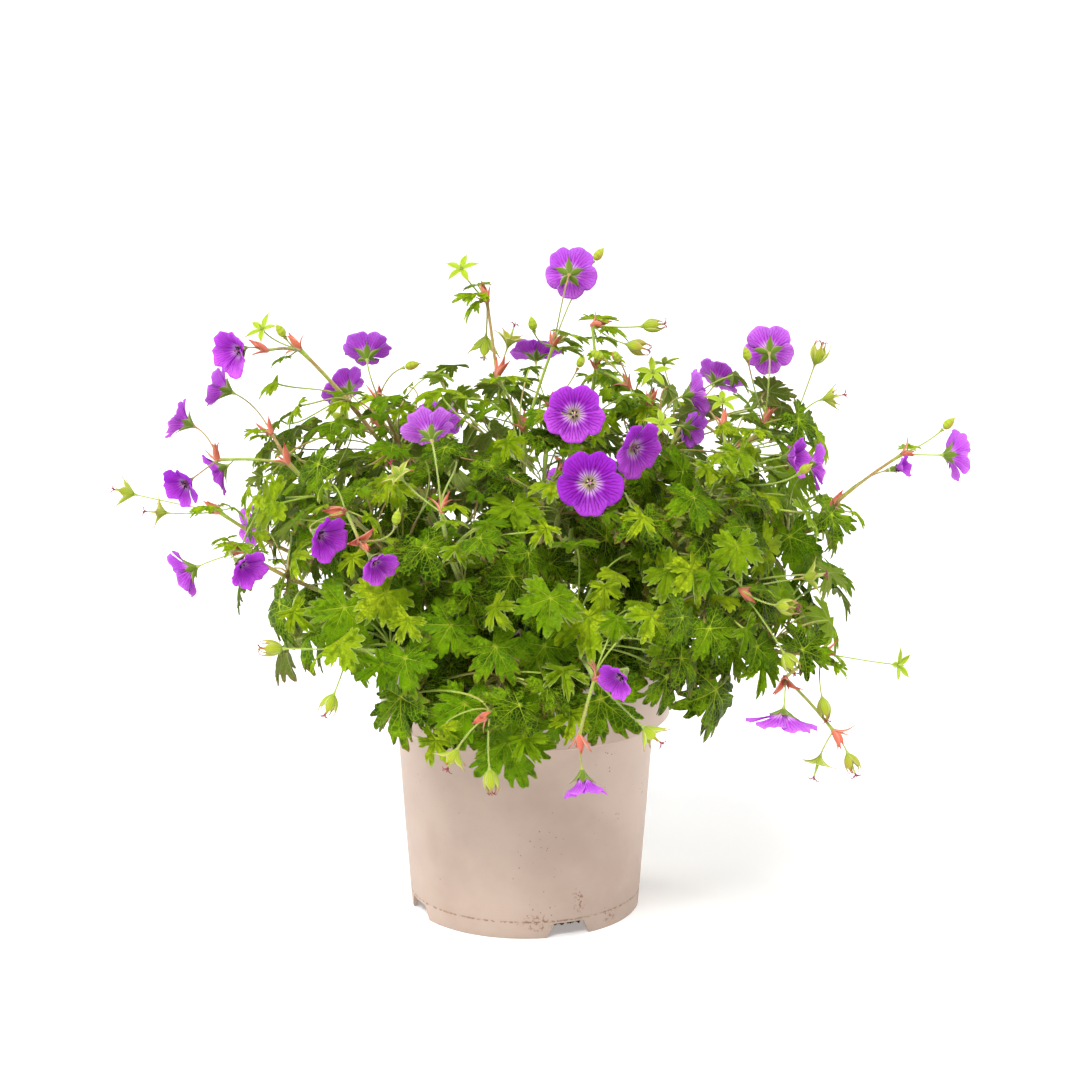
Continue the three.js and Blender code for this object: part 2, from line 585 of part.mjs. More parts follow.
// Everything already placed, for the clearance test.
const placed = [];
function remember(solid, owner) {
  placed.push({ solid, owner, box: solid.boundingBox() });
}
function clear(solid, skipOwner) {
  const box = solid.boundingBox();
  return placed.every((p) => p.owner === skipOwner || !overlaps(p.box, box)
    || p.solid.intersect(solid).volume() < 1e-6);
}

function growLeaves(grown) {
  const blooms = grown.flatMap((g) => g.blooms);
  const roomy = {
    grow: 1.02, thickness: bladeThickness + 2 * leafClearance, drop: leafClearance,
  };
  for (const shell of shells) {
    for (let i = 0; i < shell.count; i += 1) {
      for (let attempt = 0; attempt < tries; attempt += 1) {
        const leaf = leafCandidate(shell, i, attempt);
        if (hidesFlower(leaf, blooms)) continue;
        const test = makeBlade(leaf, roomy);
        if (!clear(test, null)) continue;
        const ways = grown.map((g) => ({ g, way: petioleFor(leaf, g.joints) }));
        ways.sort((a, b) => a.way.cost - b.way.cost);
        const stalked = (way, spare, blade) => {
          const thick = petioleRadius + spare;
          const stalk = stalkRings(way.curve, thick, petioleSteps, leaf.frame, leaf.at, thick);
          return makeBlade(leaf, { ...blade, stalk });
        };
        const pick = ways.slice(0, 3).find(({ g, way }) => way.cost < longestPetiole
          && clear(stalked(way, leafClearance, { drop: 0 }), g.number));
        if (!pick) continue;
        const whole = stalked(pick.way, 0, {});
        pick.g.parts.push(whole);
        remember(whole, pick.g.number);
        break;
      }
    }
  }
}

// ---------------------------------------------------------------- assembly
const group = new THREE.Group();
function addMesh(name, solid, hex, roughness) {
  const material = new THREE.MeshStandardMaterial({ color: hex, roughness, metalness: 0 });
  const mesh = new THREE.Mesh(toGeometry(solid), material);
  mesh.name = name;
  group.add(mesh);
}

function makeSoil() {
  const floor = pot.footHeight + pot.wall + soil.gap;
  const neck = pot.height - pot.bandHeight + 2;
  const inner = (r) => r - soil.gap;
  const atTop = pot.bandLowRadius - 4.6 - 0.6;
  const profile = [
    [0, floor], [inner(pot.footRadius - pot.wall), floor],
    [inner(pot.shoulderRadius - pot.wall), neck],
    [inner(atTop) - 1, neck + 9], [atTop - 1, soil.top - 2], [0, soil.top],
  ];
  const lathe = new THREE.LatheGeometry(profile.map(([r, z]) => new THREE.Vector2(r, z)), soil.facets);
  const body = toSolid(lathe.rotateX(Math.PI / 2));
  const holes = stems.map((entry) => {
    const [foot, first] = stemCurve(entry).getSpacedPoints(stemSteps);
    const middle = foot.clone().lerp(first, (plantedDepth / 2) / (first.z - foot.z));
    const hole = new THREE.CylinderGeometry(holeRadius, holeRadius, plantedDepth * 2, 4);
    return toSolid(hole.rotateX(Math.PI / 2).translate(middle.x, middle.y, soil.top));
  });
  return body.subtract(fuse(holes));
}

const potBody = makePot();
const soilBody = makeSoil();
const grown = stems.map((entry, i) => growStem(entry, i + 1));
remember(potBody, 'pot');
remember(soilBody, 'soil');
const corollas = [];
grown.forEach((g) => {
  g.parts.forEach((part) => remember(part, g.number));
  g.blooms.forEach((item) => {
    const corolla = makeCorolla(item);
    corollas.push(corolla);
    remember(corolla, `bloom ${corollas.length}`);
  });
});
growLeaves(grown);

const twoDigits = (n) => String(n).padStart(2, '0');
addMesh('pot', potBody, colour.pot, 0.55);
addMesh('soil', soilBody, colour.soil, 0.95);
grown.forEach((g) => {
  addMesh(`leafy_stem_${twoDigits(g.number)}`, fuse(g.parts), colour.foliage[g.number % 4], 0.6);
});
corollas.forEach((corolla, i) => {
  addMesh(`bloom_${twoDigits(i + 1)}`, corolla, colour.petal[i % 3], 0.6);
});

export default group;
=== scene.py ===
import math

import bpy
import numpy as np
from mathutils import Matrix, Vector
from mathutils.bvhtree import BVHTree
from mathutils.kdtree import KDTree


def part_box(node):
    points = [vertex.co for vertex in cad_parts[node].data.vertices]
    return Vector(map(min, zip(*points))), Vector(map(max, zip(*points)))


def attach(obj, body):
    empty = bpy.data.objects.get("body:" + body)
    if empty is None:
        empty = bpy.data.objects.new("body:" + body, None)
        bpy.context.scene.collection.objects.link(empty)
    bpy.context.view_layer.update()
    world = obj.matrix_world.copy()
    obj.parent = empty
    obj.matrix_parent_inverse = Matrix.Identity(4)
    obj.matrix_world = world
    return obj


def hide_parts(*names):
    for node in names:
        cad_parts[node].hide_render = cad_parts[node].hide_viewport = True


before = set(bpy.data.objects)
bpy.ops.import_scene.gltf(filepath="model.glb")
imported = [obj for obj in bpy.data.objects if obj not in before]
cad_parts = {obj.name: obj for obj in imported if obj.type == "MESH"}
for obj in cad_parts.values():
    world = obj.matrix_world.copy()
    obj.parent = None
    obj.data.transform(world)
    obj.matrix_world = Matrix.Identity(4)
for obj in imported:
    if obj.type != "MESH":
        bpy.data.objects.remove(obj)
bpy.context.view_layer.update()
mm = 0.001

# ---------------------------------------------------------------- the studio
# A seamless pale floor in a white surround, under one broad soft light from above and soft panels
# beside and before it, as for a catalogue picture. The camera looks a little down on the plant.
camera_back, camera_height, looks_down = 2.30441, 0.83416, 13.70
film_width, lens_length, lens_shift = 36, 110.233, 0.0136
floor_width = 1000
bpy.ops.object.camera_add(
    location=(0, -camera_back, camera_height),
    rotation=(math.radians(90 - looks_down), 0, 0),
)
camera = bpy.context.object
camera.data.sensor_width = film_width
camera.data.lens = lens_length
camera.data.shift_x = lens_shift
camera.data.clip_end = floor_width
bpy.context.scene.camera = camera

surround_white, surround_strength = (1.0, 0.995, 0.985, 1), 0.16
surround = bpy.data.worlds.new("surround")
surround.use_nodes = True
background = surround.node_tree.nodes["Background"]
background.inputs["Color"].default_value = surround_white
background.inputs["Strength"].default_value = surround_strength
bpy.context.scene.world = surround
bpy.context.scene.view_settings.view_transform = "Standard"

# the light from above: how far it is tipped and turned and how broad it looks, in degrees
light_tip, light_turn, light_breadth = 32, -16, 30
light_strength = 4.1
bpy.ops.object.light_add(type="SUN", rotation=(math.radians(light_tip), 0, math.radians(light_turn)))
overhead = bpy.context.object
overhead.data.energy = light_strength
overhead.data.angle = math.radians(light_breadth)

# each panel: place, the point that it faces, width and height in metres, power in watts
panels = [
    ((-2.2, 0.9, 1.2), (0, 0, 0.3), (1.4, 1.8), 46),
    ((2.2, 0.9, 1.2), (0, 0, 0.3), (1.4, 1.8), 46),
    ((-1.2, -2.2, 2.0), (0, 0, 0.25), (1.2, 1.2), 14),
]
for place, target, (width, height), power in panels:
    bpy.ops.object.light_add(type="AREA", location=place)
    panel = bpy.context.object
    panel.data.shape = "RECTANGLE"
    panel.data.size, panel.data.size_y = width, height
    panel.data.energy = power
    heading = Vector(place) - Vector(target)
    panel.rotation_euler = heading.to_track_quat("Z", "Y").to_euler()


def feed(tree, slot, term):
    """Links a flow to a node's socket, or sets the socket's own value."""
    if isinstance(term, Flow):
        tree.links.new(term.socket, slot)
    else:
        slot.default_value = term


def add_node(tree, kind, settings, sockets, out=0):
    """Adds a node, sets it, feeds its sockets and gives the flow that leaves it."""
    node = tree.nodes.new(kind)
    for name, value in settings.items():
        setattr(node, name, value)
    for name, term in sockets.items():
        feed(tree, node.inputs[name], term)
    return Flow(tree, node.outputs[out])


def math_node(operation, swapped=False):
    """An operator of Flow, as a Math node. A swapped one takes its terms as in `1 - mask`."""

    def written(flow, *others):
        terms = (*others, flow) if swapped else (flow, *others)
        return add_node(flow.tree, "ShaderNodeMath", {"operation": operation}, dict(enumerate(terms)))

    return written


class Flow:
    """A number or colour on its way through a material. Sums written with it become Math nodes."""

    __add__ = __radd__ = math_node("ADD")
    __sub__ = math_node("SUBTRACT")
    __rsub__ = math_node("SUBTRACT", swapped=True)
    __mul__ = __rmul__ = math_node("MULTIPLY")
    __truediv__ = math_node("DIVIDE")
    __rtruediv__ = math_node("DIVIDE", swapped=True)
    __pow__ = math_node("POWER")
    __abs__ = math_node("ABSOLUTE")
    __round__ = math_node("ROUND")
    upto = math_node("MINIMUM")
    atleast = math_node("MAXIMUM")
    sine = math_node("SINE")
    cosine = math_node("COSINE")
    root = math_node("SQRT")
    turn = math_node("ARCTAN2")

    def __init__(self, tree, socket):
        self.tree = tree
        self.socket = socket

    def between(self, low, high, first=0.0, last=1.0):
        """Runs smoothly from first to last as the number goes from low to high."""
        return add_node(self.tree, "ShaderNodeMapRange", {"interpolation_type": "SMOOTHSTEP"},
                        dict(enumerate((self, low, high, first, last))))


def paint(red, green, blue):
    """A colour as a painter reads it off a swatch, 0 to 255, made linear."""
    return tuple(((c / 255 + 0.055) / 1.055) ** 2.4 if c > 10 else c / 255 / 12.92
                 for c in (red, green, blue)) + (1.0,)


class Finish:
    """A material: its nodes and what feeds the surface."""

    def __init__(self, name, **constants):
        self.material = bpy.data.materials.new(name)
        self.material.use_nodes = True
        self.tree = self.material.node_tree
        self.surface = self.tree.nodes["Principled BSDF"]
        for socket, value in constants.items():
            self.surface.inputs[socket.replace("_", " ")].default_value = value

    def node(self, kind, settings=None, sockets=None, out=0):
        return add_node(self.tree, kind, settings or {}, sockets or {}, out)

    def places(self):
        return self.node("ShaderNodeTexCoord", out="Object")

    def map(self):
        return self.node("ShaderNodeUVMap", {"uv_map": "UVMap"})

    def attribute(self, name):
        return self.node("ShaderNodeAttribute", {"attribute_name": name}, out="Fac")

    def parts_of(self, vector):
        outputs = self.node("ShaderNodeSeparateXYZ", {}, {0: vector}).socket.node.outputs
        return [Flow(self.tree, output) for output in outputs]

    def noise(self, scale, detail=3, at=None, roughness=0.55):
        return self.node("ShaderNodeTexNoise", {}, {
            "Vector": at or self.places(), "Scale": scale, "Detail": detail, "Roughness": roughness})

    def cells(self, scale, feature="F1", at=None):
        return self.node("ShaderNodeTexVoronoi", {"feature": feature}, {
            "Vector": at or self.places(), "Scale": scale}, "Distance")

    def blend(self, share, first, second):
        return self.node("ShaderNodeMix", {"data_type": "RGBA"}, {0: share, 6: first, 7: second}, 2)

    def colour(self, flow):
        feed(self.tree, self.surface.inputs["Base Color"], flow)

    def roughness(self, flow):
        feed(self.tree, self.surface.inputs["Roughness"], flow)

    def relief(self, height, depth, strength=1.0):
        """Raises the surface by `depth` millimetres where the height is 1."""
        bump = self.node("ShaderNodeBump", {}, {
            "Height": height, "Distance": depth * mm, "Strength": strength})
        feed(self.tree, self.surface.inputs["Normal"], bump)

    def glow(self, share, colour):
        """Lets some light through a thin leaf or petal."""
        through = self.node("ShaderNodeBsdfTranslucent", {}, {"Color": colour})
        mixed = self.node("ShaderNodeMixShader", {}, {
            0: share, 1: Flow(self.tree, self.surface.outputs[0]), 2: through})
        feed(self.tree, self.tree.nodes["Material Output"].inputs["Surface"], mixed)


def started(name, primitive, **settings):
    """A new piece to be shaped: a primitive, added with nothing else selected."""
    bpy.ops.object.select_all(action="DESELECT")
    primitive(**settings)
    piece = bpy.context.object
    piece.name = name
    return piece


floor = started("floor", bpy.ops.mesh.primitive_plane_add, size=floor_width)
floor_paint = Finish("floor_paint", Base_Color=(0.9, 0.9, 0.9, 1), Roughness=0.9,
                     Emission_Color=(1, 1, 1, 1), Emission_Strength=0.27)
floor.data.materials.append(floor_paint.material)

# ---------------------------------------------------------------- the pot
# A 21 cm nursery pot of taupe recycled plastic, moulded in one: a tapered wall, a deep rim band
# that stands proud of it, and a skirt with four openings under a floor plate with four drain holes.
pot_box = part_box("pot")
pot_height = pot_box[1].z / mm
pot_wall = 2.4
band_height = 44
foot_radius, shoulder_radius = 83, 94
band_low_radius, band_top_radius = 104.5, 107
foot_height = 12.5
up = np.array((0.0, 0.0, 1.0))


def finished(piece, material=None, replaces=()):
    """Gives a piece its material and hands it to the frame."""
    if material:
        piece.data.materials.append(material)
    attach(piece, "root")
    if replaces:
        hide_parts(*replaces)


def turned(name, profile, sides):
    """A closed round body: a filled circle whose edge is drawn out from one profile point to the next."""
    (radius, height), *rest = profile
    piece = started(name, bpy.ops.mesh.primitive_circle_add, vertices=sides, radius=radius * mm,
                    fill_type="NGON")
    bpy.ops.object.mode_set(mode="EDIT")
    bpy.ops.mesh.select_all(action="SELECT")
    bpy.ops.transform.translate(value=(0, 0, height * mm))
    for next_radius, next_height in rest:
        bpy.ops.mesh.extrude_edges_move(
            TRANSFORM_OT_translate={"value": (0, 0, (next_height - height) * mm)})
        share = next_radius / radius
        bpy.ops.transform.resize(value=(share, share, 1), center_override=(0, 0, 0))
        radius, height = next_radius, next_height
    bpy.ops.mesh.edge_face_add()
    bpy.ops.mesh.select_all(action="SELECT")
    bpy.ops.mesh.normals_make_consistent(inside=False)
    bpy.ops.object.mode_set(mode="OBJECT")
    return piece


def pick(piece):
    """Makes the piece the only one that is selected, and the active one."""
    bpy.ops.object.select_all(action="DESELECT")
    bpy.context.view_layer.objects.active = piece
    piece.select_set(True)


def apply_modifier(piece, name, kind, **settings):
    """Puts a modifier on the piece and makes its result the mesh."""
    pick(piece)
    modifier = piece.modifiers.new(name, kind)
    for setting, value in settings.items():
        setattr(modifier, setting, value)
    bpy.ops.object.modifier_apply(modifier=name)


def cut(piece, cutter):
    """Takes the cutter's shape out of the piece, and the cutter away."""
    apply_modifier(piece, "hole", "BOOLEAN", operation="DIFFERENCE", solver="EXACT", object=cutter)
    bpy.data.objects.remove(cutter)


def outward(turn):
    """The level direction at this angle round the pot's or a head's middle."""
    return np.array((math.cos(turn), math.sin(turn), 0))


band_foot = pot_height - band_height
band_inside = band_low_radius - 4.6
wall_slope = (shoulder_radius - foot_radius) / (band_foot + 4)
seam_height, seam_depth = foot_height + 0.3, 0.25


def wall_at(height):
    return foot_radius + wall_slope * height


pot = turned("pot_shell", [
    (foot_radius - 2.6, foot_height), (foot_radius - 2.9, 0.8), (foot_radius - 2.3, 0),
    (foot_radius - 0.6, 0), (wall_at(0.8), 0.8),
    (wall_at(seam_height - 0.5), seam_height - 0.5), (wall_at(seam_height) - seam_depth, seam_height),
    (wall_at(seam_height + 0.5), seam_height + 0.5),
    (wall_at(45), 45), (wall_at(80), 80), (wall_at(115), 115),
    (wall_at(band_foot + 1), band_foot + 1), (shoulder_radius + 1, band_foot + 4),
    (band_low_radius - 3.2, band_foot + 4), (band_low_radius - 2.4, band_foot + 3.2),
    (band_low_radius - 2.2, band_foot + 0.5), (band_low_radius - 1.8, band_foot),
    (band_low_radius - 0.3, band_foot), (band_low_radius + 0.25, band_foot + 0.6),
    (band_low_radius + 0.2, band_foot + 1.6), (band_low_radius + 0.35, band_foot + 2.6),
    (band_low_radius + 1.1, band_foot + 20), (band_top_radius - 0.1, pot_height - 1.6),
    (band_top_radius - 0.4, pot_height - 0.5), (band_top_radius - 1.2, pot_height),
    (band_top_radius - 3.6, pot_height), (band_top_radius - 4.5, pot_height - 0.7),
    (band_top_radius - 4.7, pot_height - 1.8),
    (band_inside, band_foot + 10), (shoulder_radius - pot_wall, band_foot + 2),
    (foot_radius - pot_wall + 0.4, foot_height + pot_wall + 2),
    (foot_radius - pot_wall - 1.4, foot_height + pot_wall),
], 180)

notch_width, notch_top_width, notch_turn = 34, 23, -68
notch_height, notch_depth, notch_corner, notch_drop = foot_height - 0.5, 40, 1.6, 1.3
drain_radius, drain_inset, drain_depth = 5, 14, 12


def foot_opening():
    """A cutter for the skirt: a block that narrows upwards, with rounded edges."""
    block = started("foot_opening", bpy.ops.mesh.primitive_cube_add, size=1)
    bpy.ops.object.mode_set(mode="EDIT")
    bpy.ops.transform.resize(value=(notch_depth * mm, notch_width * mm, notch_height * mm))
    bpy.ops.mesh.select_all(action="DESELECT")
    bpy.ops.object.mode_set(mode="OBJECT")
    for corner in block.data.vertices:
        corner.select = corner.co.z > 0
    bpy.ops.object.mode_set(mode="EDIT")
    bpy.ops.transform.resize(value=(1, notch_top_width / notch_width, 1))
    bpy.ops.mesh.bevel(offset=notch_corner * mm, segments=3)
    bpy.ops.object.mode_set(mode="OBJECT")
    return block


for quarter in range(4):
    turn = math.radians(notch_turn + 90 * quarter)
    opening = foot_opening()
    opening.location = (outward(turn) * foot_radius + up * (foot_height / 2 - notch_drop)) * mm
    opening.rotation_euler.z = turn
    cut(pot, opening)
    drain_place = (outward(turn) * (foot_radius - drain_inset) + up * foot_height) * mm
    cut(pot, started("drain", bpy.ops.mesh.primitive_cylinder_add, vertices=24, location=tuple(drain_place),
                     radius=drain_radius * mm, depth=drain_depth * mm))
bpy.ops.object.shade_smooth_by_angle(angle=math.radians(35))

# The plastic is matt and faintly speckled; splashed soil has dried in the seam, over the foot and
# in three faint smears on the front.
plastic = Finish("pot_plastic", Specular_IOR_Level=0.42)
x, y, z = plastic.parts_of(plastic.places())
cloud = plastic.noise(14, 4)
shade = plastic.blend(cloud.between(0.35, 0.7), paint(185, 164, 150), paint(173, 151, 137))
fleck = plastic.cells(260)
fleck_size = plastic.noise(37, 2).between(0.42, 0.7, 0.0, 0.17)
fleck_mask = (fleck_size - fleck).between(0.0, 0.04)
shade = plastic.blend(fleck_mask * 0.75, shade, paint(112, 82, 60))
grain = plastic.noise(900, 2).between(0.62, 0.75) * 0.16
shade = plastic.blend(grain, shade, paint(150, 128, 110))
seam = 1 - abs(z / mm - seam_height).between(0.2, 1.1)
dried = plastic.noise(330, 4).between(0.42, 0.6)
shade = plastic.blend(seam * dried * 0.8, shade, paint(128, 98, 72))
foot_dust = (1 - (z / mm).between(0, 46)) * plastic.noise(60, 5).between(0.45, 0.75)
shade = plastic.blend(foot_dust * 0.35, shade, paint(176, 146, 120))
# each smear: its place on the front, across and up, and half its width and height
smears = [((38.0, 27.0), (6.5, 13.0)), ((9.0, 12.0), (14.0, 9.0)), ((62.0, 9.0), (9.0, 7.0))]
front = 1 - (y / mm).between(-60, -50)
for (across, height), (half_width, half_height) in smears:
    distance = (((x / mm - across) / half_width) ** 2 + ((z / mm - height) / half_height) ** 2).root()
    smear = (1 - distance.between(0.2, 1.0)) * plastic.noise(420, 5).between(0.52, 0.6) * front
    shade = plastic.blend(smear * 0.85, shade, paint(122, 80, 52))
plastic.colour(shade)
plastic.roughness(0.5 + cloud * 0.08 + dried * seam * 0.2)
plastic.relief(plastic.noise(1500, 2) + seam * dried * 2, 0.05, 0.5)
finished(pot, plastic.material, ["pot"])

# ---------------------------------------------------------------- the soil
# Black peat compost filled to a finger below the rim, its top pressed down unevenly and strewn with
# loose crumbs. Some has run out under the front foot opening and sticks to its edge.
soil_top, soil_gap = 176, 0.35
soil_dip = 1.2  # of the pressed top below soil_top, before its lumps rise
neck = band_foot + 2
soil_edge = band_inside - 0.9
top_rings = 14
soil = turned("soil_body", [
    (foot_radius - pot_wall - 3, foot_height + pot_wall + soil_gap),
    (shoulder_radius - pot_wall - 1, neck), (soil_edge - 1.2, neck + 9), (soil_edge - 1, soil_top - 3),
    *[((soil_edge - 2) * (1 - k / top_rings) + 1, soil_top - soil_dip) for k in range(top_rings)],
], 120)


def shape(piece, rule):
    """Moves every point of a piece by a rule that takes and gives an (n, 3) array of places."""
    places = np.empty(len(piece.data.vertices) * 3)
    piece.data.vertices.foreach_get("co", places)
    piece.data.vertices.foreach_set("co", np.asarray(rule(places.reshape(-1, 3))).ravel())
    piece.data.update()


def copy_of(model, rule):
    """A copy with its own mesh, laid in place by a rule."""
    piece = model.copy()
    piece.data = model.data.copy()
    bpy.context.collection.objects.link(piece)
    shape(piece, rule)
    return piece


def joined(name, pieces):
    """The pieces as one, under a name of its own."""
    pick(pieces[0])
    for piece in pieces[1:]:
        piece.select_set(True)
    bpy.ops.object.join()
    pieces[0].name = name
    pieces[0].data.name = name
    return pieces[0]


lumps = np.random.default_rng(5)
lump_waves = [(lumps.normal(size=2) * pitch, lumps.uniform(0, 6.3), height)
              for pitch, height in [(0.05, 1.1)] * 6 + [(0.16, 0.55)] * 9 + [(0.5, 0.35)] * 12]
deepest_lump, highest_lump, lump_fade = -3.2, 2.6, 6


def lumpy(places):
    """Raises and sinks the soil's top by the waves, and leaves it level where it meets the pot."""
    flat = places[:, :2] / mm
    rise = sum(height * np.sin(flat @ wave + phase) for wave, phase, height in lump_waves)
    top = (places[:, 2] / mm > soil_top - 2).astype(float)
    fade = np.clip((soil_edge - np.hypot(*flat.T)) / lump_fade, 0, 1)
    places[:, 2] += np.clip(rise, deepest_lump, highest_lump) * top * fade * mm
    return places


shape(soil, lumpy)
bpy.ops.object.shade_smooth()

crumb_models = []
for kind in range(3):
    crumb_models.append(started(f"crumb_model_{kind}", bpy.ops.mesh.primitive_ico_sphere_add,
                                subdivisions=1, radius=1))
    bpy.ops.object.mode_set(mode="EDIT")
    bpy.ops.transform.vertex_random(offset=0.35, seed=kind)
    bpy.ops.object.mode_set(mode="OBJECT")

strewn, clinging = 420, 26  # crumbs on the soil and at the front foot opening
crumb_draw = np.random.default_rng(8)
crumbs = []


def drawn_turn():
    """A turn by chance: an orthogonal matrix from three drawn directions."""
    turned_by = np.linalg.qr(crumb_draw.normal(size=(3, 3)))[0]
    return turned_by * np.sign(np.linalg.det(turned_by))


def add_crumb(stretch, centre):
    """One more crumb, stretched and turned by a matrix and laid with its middle in place."""
    model = crumb_models[len(crumbs) % len(crumb_models)]
    crumbs.append(copy_of(model, lambda places: (places @ stretch + centre) * mm))


for _ in range(strewn):
    size = crumb_draw.uniform(0.7, 3.2) * crumb_draw.uniform(0.5, 1)
    reach = (soil_edge - 4) * math.sqrt(crumb_draw.uniform())
    turn = crumb_draw.uniform(0, 2 * math.pi)
    stretch = np.diag(crumb_draw.uniform(0.6, 1.3, 3)) @ drawn_turn() * size
    centre = outward(turn) * reach + up * soil_top
    centre[2] += lumpy(centre[None] * mm)[0, 2] / mm - soil_top - soil_dip + size * 0.25
    add_crumb(stretch, centre)
notch_at = math.radians(notch_turn)
for _ in range(clinging):
    size = crumb_draw.uniform(0.5, 1.5)
    aside = crumb_draw.uniform(-notch_top_width / 2, notch_top_width / 2 - 1)
    radius = foot_radius - 1.5 + crumb_draw.uniform(-1.2, 1.2)
    height = foot_height - 1.6 - crumb_draw.uniform(0, 1.2)
    centre = outward(notch_at) * radius + outward(notch_at + math.pi / 2) * aside + up * height
    add_crumb(drawn_turn() * size, centre)
crumbs = joined("soil_crumbs", crumbs)
for model in crumb_models:
    bpy.data.objects.remove(model)

peat = Finish("peat", Roughness=0.95, Specular_IOR_Level=0.2)
shade = peat.blend(peat.noise(180, 5).between(0.35, 0.7), paint(22, 16, 12), paint(58, 42, 31))
fibres = peat.noise(90, 2, at=peat.node("ShaderNodeVectorMath", {"operation": "MULTIPLY"}, {
    0: peat.places(), 1: (1, 6, 3)}))
shade = peat.blend(fibres.between(0.62, 0.72) * 0.6, shade, paint(98, 72, 48))
peat.colour(shade)
peat.relief(peat.noise(420, 5), 1.2, 1.0)
finished(soil, peat.material, ["soil"])
finished(crumbs, peat.material)

# ---------------------------------------------------------------- the plant's plan
# The stems grow from the crown in the middle of the pot, lean out over the rim and fork; each fork
# bears flowers, star calyxes, seed heads or buds. A place is [x, y, z] where a stalk meets what it
# bears, and `faces` is where that looks.
def head(kind):
    """A word for the table below: one kind of head, and for a bloom its petals' length and rise."""

    def entry(at, faces, petal=None, rise=None):
        return {"kind": kind, "at": at, "faces": faces, "petal": petal, "rise": rise}

    return entry


def fork(at, *bears):
    return {"kind": "fork", "at": at, "bears": bears}


def stem(root, bend, top):
    return {"root": root, "bend": bend, "top": top}


